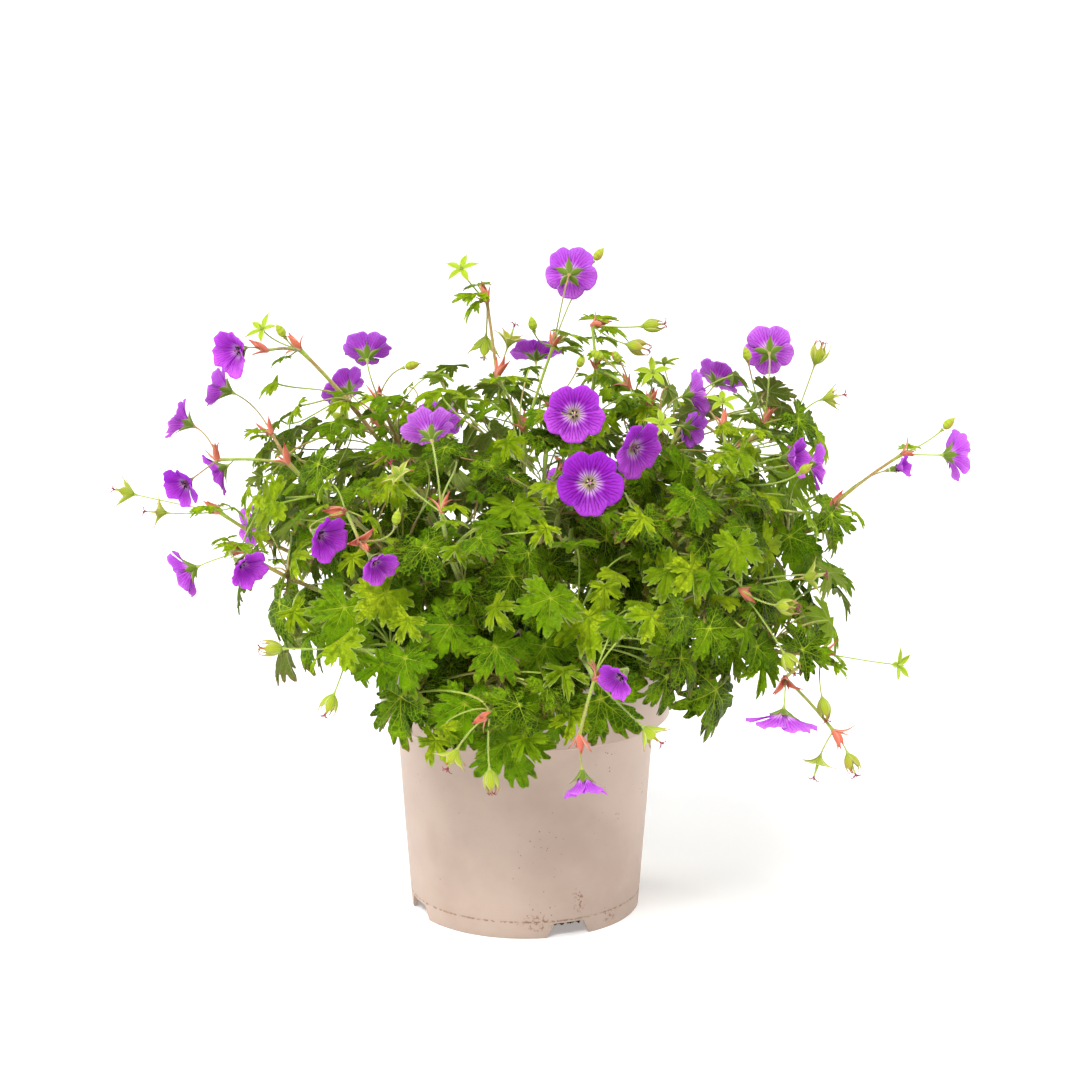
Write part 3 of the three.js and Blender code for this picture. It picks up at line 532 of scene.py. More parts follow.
bloom, star, beak, bud = head("bloom"), head("star"), head("beak"), head("bud")
stems = [
  # left side, from the top down
  stem([-30, 8], [-96, 14, 345], fork([-160, 10, 409],
    star([-186, 0, 426], [-0.4, -0.5, 0.75]), bud([-169, -15, 423], [-0.5, -0.2, 0.8]),
    fork([-181, -25, 415], bloom([-196, -27, 417], [-0.65, -0.72, -0.12], 22.5, 40)))),
  stem([-50, -16], [-124, -36, 290], fork([-166, -42, 338],
    fork([-178, -36, 358], bloom([-208, -4, 381], [-0.88, 0.32, 0.3], 20, 38)),
    fork([-215, -45, 341], bloom([-233, -34, 363], [-0.9, 0.14, 0.36], 20, 42),
      bloom([-212, -16, 330], [-0.85, -0.12, -0.48], 19.5, 32),
      bloom([-231, -78, 334], [-0.6, -0.7, -0.35], 19, 36)))),
  stem([-58, 14], [-150, 30, 232], fork([-222, 34, 285],
    beak([-288, 62, 292], [-0.95, 0.1, 0.2]), beak([-262, 36, 284], [-0.95, -0.1, 0.1]))),
  stem([-60, -34], [-140, -64, 236], fork([-196, -72, 282],
    bloom([-228, -82, 273], [-0.88, 0.12, -0.45], 21, 32),
    bloom([-198, -112, 286], [0.65, -0.7, -0.3], 22.5, 48))),
  # front left
  stem([-44, -44], [-92, -84, 280], fork([-122, -120, 322],
    bloom([-143, -138, 312], [0.72, -0.62, -0.2], 23, 42),
    fork([-112, -140, 306], bloom([-104, -158, 300], [0.55, -0.75, -0.38], 20, 46),
      bud([-87, -152, 320], [0.2, 0, 1])))),
  stem([-40, -60], [-66, -140, 222], fork([-119, -146, 232],
    beak([-166, -134, 229], [-0.95, 0.1, 0]), beak([-130, -156, 202], [-0.4, -0.1, -0.9]))),
  stem([-18, -56], [-48, -128, 250], fork([-56, -150, 328],
    bloom([-63, -132, 374], [-0.2, 0.78, 0.58], 22, 32), beak([-83, -142, 350], [-0.5, -0.4, 0.8]))),
  # the top
  stem([-34, -18], [-74, -16, 310], fork([-103, -20, 379],
    bloom([-111, -20, 408], [-0.05, 0.8, 0.6], 20.5, 32), bud([-84, -30, 404], [0.95, 0, 0.25]))),
  stem([-2, 8], [-2, 6, 310], fork([0, 0, 352],
    fork([-20, -12, 394], beak([-12, -8, 416], [0.3, 0, 0.95]),
      fork([-27, -2, 446], star([-45, 0, 469], [-0.2, -0.6, 0.75]), beak([-28, 8, 418], [-0.1, 0.2, -1]))),
    fork([20, 10, 412], bloom([31, 4, 464], [0.12, 0.96, 0.05], 20.5, 22),
      bud([49, 18, 472], [0.6, 0.1, 0.8]), bud([6, -6, 426], [-0.2, -0.2, 1])))),
  stem([26, -6], [36, -14, 320], fork([50, -14, 400],
    fork([47, -8, 430], beak([83, -18, 431], [0.95, 0, 0.1]), beak([72, -30, 420], [0.9, -0.2, -0.2])),
    fork([73, -40, 391], bud([54, -46, 413], [-0.8, 0, 0.5]), bud([65, -54, 413], [-0.4, -0.5, 0.7])))),
  # front, right of the middle
  stem([6, -36], [20, -66, 290], fork([30, -78, 338],
    bloom([33, -96, 384], [0, -0.97, 0.2], 22, 20), bloom([43, -126, 343], [0.06, -0.96, 0.22], 24, 18))),
  stem([28, -30], [60, -50, 300], fork([78, -56, 348],
    bloom([71, -98, 362], [0.68, -0.7, -0.2], 23, 24), star([94, -74, 373], [0.2, -0.7, 0.7]),
    fork([87, -32, 377], star([89, -32, 401], [0, -0.75, 0.65])))),
  stem([40, -6], [80, -2, 300], fork([94, 0, 352],
    bloom([113, 16, 374], [0.93, 0.25, 0.12], 22, 34),
    bloom([114, 34, 348], [0.75, 0.5, -0.35], 17, 36))),
  # right side, from the top down
  stem([40, 18], [118, 22, 290], fork([171, 10, 355],
    bloom([174, 20, 405], [0, 0.96, 0.12], 20, 22), bud([157, -8, 405], [-0.2, -0.3, 0.9]),
    fork([192, 22, 352], beak([208, 30, 396], [0.3, 0, 0.95]), beak([214, 18, 372], [0.9, 0, 0.2])))),
  stem([46, -22], [110, -44, 270], fork([142, -62, 328],
    fork([139, -24, 361], star([140, -2, 374], [0, -0.5, 0.85])), bud([189, -82, 340], [0.7, -0.3, 0.6]),
    bloom([178, -62, 346], [0.85, -0.4, 0.1], 20, 44), bloom([196, -38, 336], [0.97, 0.1, -0.05], 20, 32))),
  stem([58, -2], [150, -20, 236], fork([214, -44, 306],
    bloom([251, -73, 340], [0.84, -0.42, 0.3], 15.5, 62),
    fork([262, -58, 348], bloom([289, -70, 350], [0.9, 0.32, -0.05], 21, 34),
      bud([290, -58, 366], [0.7, 0, 0.7])))),
  stem([50, -40], [112, -96, 222], fork([146, -130, 270],
    beak([176, -142, 227], [0.5, -0.2, -0.85]), beak([170, -152, 264], [0.8, -0.4, 0]),
    beak([193, -92, 268], [0.9, 0.1, 0.1]))),
  stem([58, -24], [150, -84, 206], fork([206, -92, 214],
    star([258, -108, 210], [0.7, -0.65, 0.1]), beak([204, -124, 190], [0.2, -0.3, -0.9]),
    fork([178, -126, 206], bloom([176, -142, 188], [-0.12, -0.14, -0.98], 26, 22),
      fork([212, -126, 168], beak([222, -130, 152], [0.35, -0.3, -0.9]),
        beak([202, -136, 152], [-0.3, -0.3, -0.9]))))),
  # front, low over the rim
  stem([20, -62], [34, -140, 236], fork([46, -184, 222],
    bloom([67, -194, 230], [-0.6, -0.72, -0.35], 19, 46), beak([80, -186, 188], [0.7, -0.2, -0.6]),
    fork([36, -190, 184], bloom([38, -190, 160], [0.12, -0.3, -0.94], 22, 46)))),
  stem([-4, -64], [-12, -140, 228], fork([-24, -184, 198],
    beak([-46, -184, 172], [-0.45, 0, -0.9]), beak([-24, -186, 158], [0.1, -0.1, -1]))),
  # the back
  stem([-30, 42], [-84, 96, 280], fork([-108, 124, 330],
    bloom([-132, 140, 352], [-0.55, 0.6, 0.45], 21, 26), beak([-136, 160, 326], [-0.6, 0.6, 0.3]),
    fork([-78, 158, 312], bloom([-66, 186, 318], [-0.1, 0.95, 0.1], 21, 30)))),
  stem([8, 48], [14, 118, 290], fork([18, 146, 340],
    bloom([8, 156, 374], [0, 0.55, 0.8], 21, 24), bud([40, 160, 368], [0.4, 0.2, 0.9]),
    fork([30, 178, 290], bloom([26, 192, 276], [0.1, 0.75, -0.6], 20, 40)))),
  stem([42, 36], [96, 90, 290], fork([120, 112, 342],
    bloom([142, 134, 360], [0.5, 0.55, 0.65], 21, 26), star([104, 136, 376], [-0.1, 0.4, 0.9]),
    fork([158, 128, 312], bloom([190, 134, 304], [0.9, 0.3, -0.2], 20, 36)))),
  stem([24, 58], [90, 136, 210], fork([132, 162, 232],
    bloom([158, 176, 226], [0.55, 0.65, -0.5], 20, 40), beak([124, 196, 222], [0.1, 0.85, -0.4]))),
  stem([-46, 30], [-128, 96, 224], fork([-168, 118, 252],
    bloom([-198, 132, 252], [-0.85, 0.45, -0.2], 20, 36), beak([-168, 152, 236], [-0.3, 0.8, -0.4]))),
]

stem_steps = 5
stem_points = 25
rise_height = 235
planted_depth, foot_gap = 9, 0.4
stem_radius, stem_taper, stem_knot = 2.05, 0.65, 0.55
fork_radius, fork_knot, fork_bow = 1.1, 0.5, 0.03
stalk_radius, stalk_foot, stalk_neck = 0.56, 0.3, 1.0


def unit(vector):
    vector = np.asarray(vector, float)
    return vector / np.linalg.norm(vector)


def axes(normal, ahead):
    """Rows: forward (as near to `ahead` as it can be), side and normal, at right angles."""
    normal = unit(normal)
    forward = unit(ahead - (ahead @ normal) * normal)
    return np.array((forward, np.cross(normal, forward), normal))


def head_axes(faces):
    faces = unit(faces)
    return axes(faces, np.array((0, -1, 0)) if abs(faces[2]) > 0.9 else up)


def bezier(points, shares):
    """Points of a Bezier curve within its control points' hull, at shares of its way."""
    layers = [np.outer(np.ones_like(shares), point) for point in points]
    while len(layers) > 1:
        layers = [start + (end - start) * shares[:, None] for start, end in zip(layers, layers[1:])]
    return layers[0]


def evenly(points, steps, fine=200):
    """Points at even lengths along a Bezier curve."""
    shares = np.linspace(0, 1, fine + 1)
    walk = bezier(points, shares)
    lengths = np.concatenate(([0], np.cumsum(np.linalg.norm(np.diff(walk, axis=0), axis=1))))
    return bezier(points, np.interp(np.linspace(0, lengths[-1], steps + 1), lengths, shares))


def stem_hull(entry):
    """Straight up out of its hole in the soil, over to where it bends, and on to its first fork."""
    root, foot = entry["root"], soil_top - planted_depth + foot_gap
    return [np.array((*root, foot)), np.array((*root, rise_height)),
            np.array(entry["bend"]), np.array(entry["top"]["at"])]


def stalk_hull(start, end, faces):
    """From the fork to a head, which it meets from behind."""
    handle = end - faces * np.linalg.norm(end - start) * 0.42
    return [start, handle, end]


def swelling(way, width):
    """1 at the start of a way, and soon 0 on either side of it."""
    return np.exp(-(way / width) ** 2)


# What each stem carries, walked out of the table: round strokes (points and radii) for stems and
# stalks, and the heads, forks and blooms with where they stand.
plants = []
for number, entry in enumerate(stems, 1):
    plant = {"number": number, "joints": evenly(stem_hull(entry), stem_steps)[1:],
             "strokes": [], "heads": [], "forks": [], "blooms": [], "leaves": []}
    steps = np.linspace(0, 1, stem_points)
    knots = sum(swelling(steps - k / stem_steps, 0.018) for k in range(2, stem_steps + 1))
    plant["strokes"].append((evenly(stem_hull(entry), stem_points - 1),
                             stem_radius - stem_taper * steps + stem_knot * knots))
    waiting = [(entry["top"], None)]
    while waiting:
        item, start = waiting.pop()
        at = item["at"] = np.array(item["at"], float)
        if item["kind"] == "fork":
            if start is not None:
                bow = np.sin(steps[::2] * math.pi)[:, None] * np.linalg.norm(at - start) * fork_bow
                line = start + (at - start) * steps[::2, None] + bow * up
                plant["strokes"].append((line, fork_radius + fork_knot * swelling(steps[::2] - 1, 0.07)))
            plant["forks"].append((at, unit(np.array(item["bears"][0]["at"]) - at)))
            waiting += [(child, at) for child in item["bears"]]
            continue
        item["axes"] = head_axes(item["faces"])
        faces = unit(item["faces"])
        shares = 1 - (1 - np.linspace(0, 1, 12)) ** 1.6
        left = (1 - shares) * np.linalg.norm(at - start)
        radii = stalk_radius + stalk_foot * swelling(shares, 0.1) + stalk_neck * swelling(left, 2.2)
        plant["strokes"].append((bezier(stalk_hull(start, at - faces * 0.3, faces), shares), radii))
        plant["blooms" if item["kind"] == "bloom" else "heads"].append(item)
    plant["bare_strokes"] = len(plant["strokes"])
    plants.append(plant)

# ---------------------------------------------------------------- the leaves' places
# Leaves stand on a spiral of even directions over a dome, in shells from the outside in, each on its
# own stalk. The first three shells are those of the solid model, and a leaf is found again there by
# its sharp middle tip. The others fill the dome up as far as they find room.
crown = np.array((0, 0, 185.0))
dome = np.array((212, 188, 193.0))
dome_corner, drawn_in, rides_up = 2.6, 1.4, 46
blade_thickness = 0.85
tries = 10
golden_turn = math.radians(137.508)
never = 500  # millimetres more, for a stalk that must not be
looseness, more_looseness = 0.06, 0.05  # of a leaf on its spiral, and with each attempt
highest_climb = 0.985
size_spread, roll_spread = 5, 1.6
lobe_fall = -0.55  # of the middle lobe, which points out and down


def draws(seed):
    """The same row of numbers between 0 and 1 for the same seed, from 32-bit sums."""
    state, whole = seed, 0xFFFFFFFF
    while True:
        state = (state + 0x6D2B79F5) & whole
        t = (state ^ (state >> 15)) * (state | 1) & whole
        t ^= (t + ((t ^ (t >> 7)) * (t | 61) & whole)) & whole
        yield ((t ^ (t >> 14)) & whole) / (whole + 1)


def dome_reach(out):
    """How far the foliage reaches: round from above, squarer from the side and drawn in below."""
    flat, climb = math.hypot(out[0] / dome[0], out[1] / dome[1]), abs(out[2] / dome[2])
    reach = (flat ** dome_corner + climb ** dome_corner) ** (-1 / dome_corner)
    return reach * min(1, 1 + drawn_in * out[2])


def ridden(at):
    """How far the foliage rides up at the sides and the back, where nothing hangs over the rim."""
    return rides_up * min(1, (at[0] / dome[0]) ** 2 + 0.6 * max(0, at[1] / dome[1]) ** 2)


def leaf_candidate(shell, i, attempt):
    """A shell's leaf number i: where it stands on the dome, how it faces, its size, and its painted shade,
    darker the deeper it stands in the dome. It strays further from the spiral with each attempt, and it is
    smaller towards the top."""
    form, count, depth, low, high, sizes, seed = shell
    row = draws(seed * 100000 + i * 100 + attempt)
    loose = looseness + more_looseness * attempt
    climb = low + (high - low) * ((i + 0.5) / count) + (next(row) - 0.5) * loose
    height = max(low, min(highest_climb, climb))
    turn = i * golden_turn + seed + (next(row) - 0.5) * loose * 4
    flat = math.sqrt(1 - height * height)
    out = np.array((flat * math.cos(turn), flat * math.sin(turn), height))
    at = crown + out * dome_reach(out) * depth * (0.94 + 0.12 * next(row))
    at[2] += ridden(at)
    normal = out + np.array(((next(row) - 0.5) * 0.8, (next(row) - 0.5) * 0.8, 0.05 + 0.45 * next(row)))
    roll = (next(row) - 0.5) * roll_spread
    level = unit((-out[1], out[0], 0))
    ahead = np.array((out[0], out[1], lobe_fall)) + level * roll
    towards_top = max(0.0, min(1.0, (height + 0.05) / 0.95))
    size = sizes[1] + (sizes[0] - sizes[1]) * towards_top + (next(row) - 0.5) * size_spread
    # light is painted shade: a factor on the leaf's tone, small for leaves deep in the dome and largest for
    # the outermost
    return {"at": at, "axes": axes(normal, ahead), "size": size, "form": form, "wild": next(row),
            "light": min(1.1, 1.5 * depth ** 5)}


def petiole_costs(leaf, joints):
    """What a leaf's stalk costs from each joint: its length, more where it climbs down or meets the
    blade from above."""
    ways = leaf["at"] - joints
    lengths = np.linalg.norm(ways, axis=1)
    from_above = ways @ leaf["axes"][2] / lengths < 0.2
    return lengths + 1.5 * np.maximum(0, -ways[:, 2]) + never * from_above


def petiole_hull(leaf, start):
    """The stalk's curve: up and out of the stem, and to the blade from below and behind."""
    forward, normal = leaf["axes"][::2]
    length = np.linalg.norm(leaf["at"] - start)
    outwards = unit((start[0], start[1], 0))
    return [start, start + up * length * 0.3 + outwards * length * 0.12,
            leaf["at"] - normal * length * 0.26 - forward * length * 0.2, leaf["at"]]


def add_leaf(leaf, plant, hull):
    """Gives the plant a leaf and its stalk, thicker where it leaves the stem and under the blade."""
    shares = np.linspace(0, 1, 13)
    thick = 0.5 + 0.012 * leaf["size"]
    radii = thick * (0.85 + 0.35 * swelling(shares, 0.08) + 0.25 * shares ** 8)
    plant["strokes"].append((bezier(hull, shares), radii))
    plant["leaves"].append(leaf)


# each shell: the leaves' form, how many, how deep in the dome they stand, the lowest and highest
# climb, how long they are at the top and below, and the seed of their draws
solid_shells = [
    ("large", 43, 0.95, -0.1, 0.96, (26, 35), 11),
    ("large", 12, 0.7, 0, 0.85, (28, 34), 23),
    ("small", 18, 1.05, 0.05, 0.98, (17, 23), 37),
]
solid_points = [(point.co, plant["number"]) for plant in plants
                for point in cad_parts[f"leafy_stem_{plant['number']:02d}"].data.vertices]
nearest = KDTree(len(solid_points))
for index, (place, number) in enumerate(solid_points):
    nearest.insert(place, index)
nearest.balance()
tip_drop = -0.3  # of a leaf's middle tip below its stalk's end, as a share of its length
same_place = 0.12 * mm
for shell in solid_shells:
    for i in range(shell[1]):
        for attempt in range(tries):
            leaf = leaf_candidate(shell, i, attempt)
            tip = np.array((1, 0, tip_drop)) * leaf["size"] + (0, 0, blade_thickness / 2)
            place, index, distance = nearest.find((leaf["at"] + tip @ leaf["axes"]) * mm)
            if distance < same_place:
                plant = plants[solid_points[index][1] - 1]
                costs = petiole_costs(leaf, plant["joints"])
                add_leaf(leaf, plant, petiole_hull(leaf, plant["joints"][np.argmin(costs)]))
                break

# ---------------------------------------------------------------- the leaf blades
# A cranesbill's leaf is cut like a hand: five lobes on a large leaf and three on a small one, each a
# wedge cut again into blunt fingers and folded along its midrib. It droops at the tip and is soft,
# net-veined, green above and greyer below, and the light comes through it yellow-green.

# half a lobe's edge from its tip on: how far beside the midrib, and the share of the lobe's length
lobe_edge = [
    (0, 1), (0.12, 0.98), (0.22, 0.91), (0.28, 0.8), (0.32, 0.75), (0.39, 0.8), (0.48, 0.9),
    (0.58, 0.905), (0.67, 0.83), (0.73, 0.73), (0.79, 0.71), (0.87, 0.73), (0.94, 0.66), (0.985, 0.48),
]
behind_stalk = 0.13  # the blade's reach behind its stalk's end, as a share of its length
pattern_step = 60  # degrees between the lobes on a blade's map
blade_rings = (0.76, 0.5, 0)


def lobed_outline(step, reaches, sinus, slim, wobble):
    """[degrees from the middle lobe, share of the leaf's length] all round, from the middle tip on:
    cut in to `sinus` between its lobes, each `slim` times as broad as its share of the round."""
    uneven = np.random.default_rng(wobble)
    last = len(reaches) - 1

    def side(k, way, spread=1.0):
        return [((k + way * spread * slim * beside / 2) * step,
                 reaches[k] * share * uneven.uniform(0.96, 1.04)) for beside, share in lobe_edge[1:]]

    def half(way):
        points = []
        for k in range(len(reaches)):
            if k:
                points += [((k - 0.5) * step, sinus), *reversed(side(k, -1)), (k * step, reaches[k])]
            points += side(k, 1, 1.3 if k == last else 1)
        return points

    right = [(-angle, share) for angle, share in reversed(half(-1))]
    return [(0, 1), *half(1), (180, behind_stalk), *right]


def rim_mask(piece, count):
    """Marks a blade's outermost ring of points, where the margin is tinted."""
    edge = piece.data.attributes.new("edge", "FLOAT", "POINT")
    marks = np.zeros(len(piece.data.vertices))
    marks[:count] = 1
    edge.data.foreach_set("value", marks)


def face_up(piece):
    """Turns an open sheet's faces upwards."""
    if piece.data.polygons[0].normal.z < 0:
        bpy.ops.object.mode_set(mode="EDIT")
        bpy.ops.mesh.select_all(action="SELECT")
        bpy.ops.mesh.flip_normals()
        bpy.ops.object.mode_set(mode="OBJECT")


def mapped(piece, rule):
    """Lays the piece's map out by a rule that gives a point's u and v from its x and y."""
    layers = piece.data.uv_layers
    layer = layers[0] if layers else layers.new(name="UVMap")
    for loop in piece.data.loops:
        layer.data[loop.index].uv = rule(*piece.data.vertices[loop.vertex_index].co.xy)


def leaf_model(name, outline, step, pairs, fold, upper, lower):
    """A unit leaf, its stalk's end at the origin and its middle lobe along +X."""
    blade = started(name, bpy.ops.mesh.primitive_circle_add, vertices=len(outline), radius=1)
    rim = [(share * math.cos(math.radians(angle)), share * math.sin(math.radians(angle)), 0)
           for angle, share in outline]
    shape(blade, lambda places: rim)
    bpy.ops.object.mode_set(mode="EDIT")
    bpy.ops.mesh.select_all(action="SELECT")
    for share in blade_rings:
        bpy.ops.mesh.extrude_edges_move()
        bpy.ops.transform.resize(value=(share,) * 3, center_override=(0, 0, 0))
    bpy.ops.mesh.select_all(action="SELECT")
    bpy.ops.mesh.remove_doubles(threshold=1e-4)
    bpy.ops.object.mode_set(mode="OBJECT")
    face_up(blade)
    rim_mask(blade, len(outline))

    def laid_out(x, y):
        """The lobes turned to stand as the pattern has them."""
        angle, reach = math.atan2(y, x) * pattern_step / step, math.hypot(x, y)
        return 0.5 + 0.5 * reach * math.cos(angle), 0.5 + 0.5 * reach * math.sin(angle)

    mapped(blade, laid_out)

    def folded(places):
        """Folds each lobe along its midrib and lets the tips droop."""
        x, y = places[:, 0], places[:, 1]
        reach, angle = np.hypot(x, y), np.degrees(np.arctan2(y, x))
        off = np.radians(angle - step * np.clip(np.round(angle / step), -pairs, pairs))
        along = np.maximum(reach * np.cos(off), 0)
        beside = np.abs(reach * np.sin(off))
        places[:, 2] = -0.1 * along ** 2 - 0.2 * along ** 2.4 + fold * beside * (1 - 0.9 * beside)
        return places

    shape(blade, folded)
    blade.data.materials.append(upper)
    blade.data.materials.append(lower)
    apply_modifier(blade, "thickness", "SOLIDIFY", thickness=0.014, offset=1, material_offset=1)
    bpy.ops.object.shade_smooth_by_angle(angle=math.radians(38))
    return blade


def veined(finish, width):
    """Masks on a blade: its midribs, its side veins, the fine net between them, and its reach."""
    flat = finish.map()
    u, v = (part * 2 - 1 for part in finish.parts_of(flat)[:2])
    reach = (u * u + v * v).root()
    angle = v.turn(u)
    sector = math.radians(pattern_step)
    off = angle - round(angle / sector).upto(2).atleast(-2) * sector
    along, beside = reach * off.cosine(), abs(reach * off.sine())
    midrib = 1 - beside.between(0.002, (1.25 - reach) * width)
    rung = (along - beside * 1.3) * 5.2 + finish.noise(5, 2, flat) * 0.9
    side = abs(rung - round(rung))
    side_vein = (1 - side.between(0.0, 0.09)) * beside.between(0.34, 0.12) * reach.between(0.12, 0.25)
    net = 1 - finish.cells(19, "DISTANCE_TO_EDGE", flat).between(0.01, 0.12)
    return midrib, side_vein, net, reach


leaf_glow = (0.14, 0.55)  # the share of light that comes through an old and a young leaf
leaf_light = paint(184, 212, 8)
upper = Finish("leaf_upper_face", Specular_IOR_Level=0.06)
midrib, side_vein, net, reach = veined(upper, 0.02)
tone = upper.attribute("tone")  # 0 is an old dark leaf, 1 a young light one, and lower still for painted shade deep in the dome
# bright and dark green patches: partly the leaf's own mottling, partly painted light and shade of its
# quilted surface between the veins
mottle_and_painted_light = upper.noise(60, 4)
blotch_and_painted_shade = upper.noise(170, 3)
shade = upper.blend(tone.between(0.0, 0.5), paint(8, 28, 2), paint(86, 130, 2))
shade = upper.blend(tone.between(0.45, 1.0), shade, paint(220, 236, 44))
shade = upper.blend(mottle_and_painted_light.between(0.42, 0.66) * 0.6, shade, paint(130, 170, 4))
shade = upper.blend(blotch_and_painted_shade.between(0.46, 0.64) * 0.7, shade, paint(16, 52, 4))
fade = reach.between(1.0, 0.15, 0.2, 1.0)
shade = upper.blend(net * 0.5, shade, paint(140, 182, 22))
shade = upper.blend((midrib + side_vein * 0.7).upto(1) * fade * 0.85, shade, paint(210, 226, 70))
shade = upper.blend(reach.between(0.11, 0.02) * 0.7, shade, paint(190, 208, 60))
margin = upper.blend(tone.between(0.35, 0.7), paint(132, 74, 60), paint(228, 232, 160))
reddened = upper.attribute("edge") ** 6 * upper.noise(30, 2).between(0.4, 0.6)
shade = upper.blend(reddened * 0.75, shade, margin)
upper.colour(shade)
upper.roughness(0.42 + mottle_and_painted_light * 0.16)
upper.relief(0 - midrib - side_vein * 0.8 - net * 0.6, 0.7, 1.0)
upper.glow(tone.between(0, 1, *leaf_glow), leaf_light)

lower = Finish("leaf_lower_face", Roughness=0.6, Specular_IOR_Level=0.25)
midrib, side_vein, net, reach = veined(lower, 0.028)
# the same tone, with its painted shade for leaves deep in the dome, darkens the lower face too
tone = lower.attribute("tone")
raised = midrib + side_vein * 0.6 + net * 0.2
shade = lower.blend(tone, paint(122, 146, 50), paint(182, 198, 76))
shade = lower.blend(lower.noise(60, 4).between(0.4, 0.7) * 0.4, shade, paint(146, 162, 64))
shade = lower.blend(raised.upto(1) * 0.7, shade, paint(214, 220, 136))
reddened = lower.attribute("edge") ** 4 * lower.noise(24, 2).between(0.4, 0.6)
shade = lower.blend(reddened * 0.8, shade, paint(186, 110, 116))
lower.colour(shade)
lower.relief(raised, 0.5, 0.8)
lower.glow(tone.between(0, 1, *leaf_glow), leaf_light)

# each form: degrees between its lobes, lobes beside the middle one, their lengths, and for each model
# the depth of its cuts, how broad its lobes are and how steeply they are folded
leaf_forms = {
    "large": (60, 2, (1, 0.94, 0.78),
              [(0.36, 0.97, 0.34), (0.42, 1.0, 0.24), (0.3, 0.92, 0.42), (0.38, 0.95, 0.5)]),
    "small": (68, 1, (1, 0.86), [(0.36, 0.86, 0.4), (0.3, 0.78, 0.52), (0.4, 0.92, 0.3)]),
    "young": (54, 2, (1, 0.9, 0.66), [(0.32, 0.8, 0.6), (0.27, 0.7, 0.8)]),
}
leaf_models = {}
for form, (step, pairs, reaches, cuts) in leaf_forms.items():
    leaf_models[form] = [
        leaf_model(f"{form}_leaf_{k}", lobed_outline(step, reaches, sinus, slim, k + 5 * pairs),
                   step, pairs, fold, upper.material, lower.material)
        for k, (sinus, slim, fold) in enumerate(cuts)]
extra_light = {"large": 0, "small": 0.3, "young": 0.5}  # on a form's tone


def tinted(piece, tone):
    """Marks the whole piece with its tone, which its material reads."""
    layer = piece.data.attributes.new("tone", "FLOAT", "POINT")
    layer.data.foreach_set("value", np.full(len(piece.data.vertices), tone))
    return piece


def grow_leaf(leaf):
    """A leaf laid at its place, with its own droop, cupping, twist and waves."""
    own = np.random.default_rng(int(leaf["wild"] * 1e9))
    droop, cup, twist, wave = own.normal(0, (0.12, 0.14, 0.18, 0.045))
    phase = own.uniform(0, 2 * math.pi)

    def lay(places):
        x, y, z = places.T
        reach = np.hypot(x, y)
        bent = z - droop * np.maximum(x, 0) ** 2 - cup * y ** 2 + twist * x * y
        bent = bent + wave * reach ** 2 * np.sin(4 * np.arctan2(y, x) + phase)
        return (leaf["at"] + leaf["size"] * np.column_stack((x, y, bent)) @ leaf["axes"]) * mm

    models = leaf_models[leaf["form"]]
    tone = leaf.get("tone")
    if tone is None:
        # the tone by chance, times the leaf's painted shade for its depth in the dome, and lighter for
        # small and young forms
        tone = own.beta(0.6, 1.1) * leaf["light"] + extra_light[leaf["form"]]
    return tinted(copy_of(models[own.integers(len(models))], lay), min(tone, 1))


# ---------------------------------------------------------------- the green heads
# Under each flower five pointed green sepals form a star. When the petals are shed, they stay: some
# spread flat, and most close round the long beak of the seed head with its red forked tip.
def plain_sheet(name, cells, cells_across):
    """A flat sheet to be shaped, x and y from -1 to 1, on its map from 0 to 1 both ways."""
    sheet = started(name, bpy.ops.mesh.primitive_grid_add, size=2, x_subdivisions=cells,
                    y_subdivisions=cells_across)
    mapped(sheet, lambda x, y: ((x + 1) / 2, (y + 1) / 2))
    return sheet


def pointed_sheet(name, cells, width, widest, awn, thickness, material):
    """A unit sepal or bract along +X: boat-shaped, ending in a fine point."""
    sheet = plain_sheet(name, cells, 4)

    def drawn_out(places):
        along, across = (places[:, 0] + 1) / 2, places[:, 1]
        body = np.clip(along / (1 - awn), 0, 1)
        half = width * (np.sin(math.pi * np.clip(body, 0.06, 0.985) ** widest)) ** 0.8
        half = np.where(along > 1 - awn, width * 0.1 * (1.25 - along), half)
        return np.column_stack((along, half * across, 0.5 * half * across ** 2))

    shape(sheet, drawn_out)
    sheet.data.materials.append(material)
    face_up(sheet)
    apply_modifier(sheet, "thickness", "SOLIDIFY", thickness=thickness, offset=-1)
    bpy.ops.object.shade_smooth()
    return sheet


def ribbed_green(name, base, ribs, tip, margin):
    """Sepals and bracts: streaked lengthwise, hairy, reddening at the tip, with a pale edge."""
    finish = Finish(name, Roughness=0.5, Specular_IOR_Level=0.3, Sheen_Weight=0.25)
    along, across = finish.parts_of(finish.map())[:2]
    rib = ((across * 31.4).sine() * 0.5 + 0.5).between(0.45, 0.95)
    shade = finish.blend(rib * (1 - along * 0.6) * 0.55, base, ribs)
    rim = (abs(across - 0.5) * 2).between(0.66, 0.95)
    shade = finish.blend(rim * 0.75, shade, margin)
    warm = (along.between(0.7, 0.98) + finish.attribute("tone") * along * 0.8).upto(1)
    shade = finish.blend(warm * finish.noise(150, 2).between(0.35, 0.6, 0.35, 1), shade, tip)
    finish.colour(shade)
    finish.relief(rib, 0.25, 0.6)
    finish.glow(0.35, margin)
    return finish.material


sepal_green = ribbed_green("sepal_green", paint(178, 204, 30), paint(108, 138, 14), paint(196, 62, 80),
                           paint(226, 228, 150))
calyx_green = ribbed_green("calyx_green", paint(120, 152, 26), paint(72, 98, 10), paint(150, 84, 60),
                           paint(196, 208, 110))
star_green = ribbed_green("star_green", paint(186, 214, 22), paint(130, 168, 14), paint(196, 170, 60),
                          paint(214, 228, 110))
bract_coral = ribbed_green("bract_coral", paint(238, 140, 108), paint(214, 68, 62), paint(190, 36, 48),
                           paint(248, 196, 164))


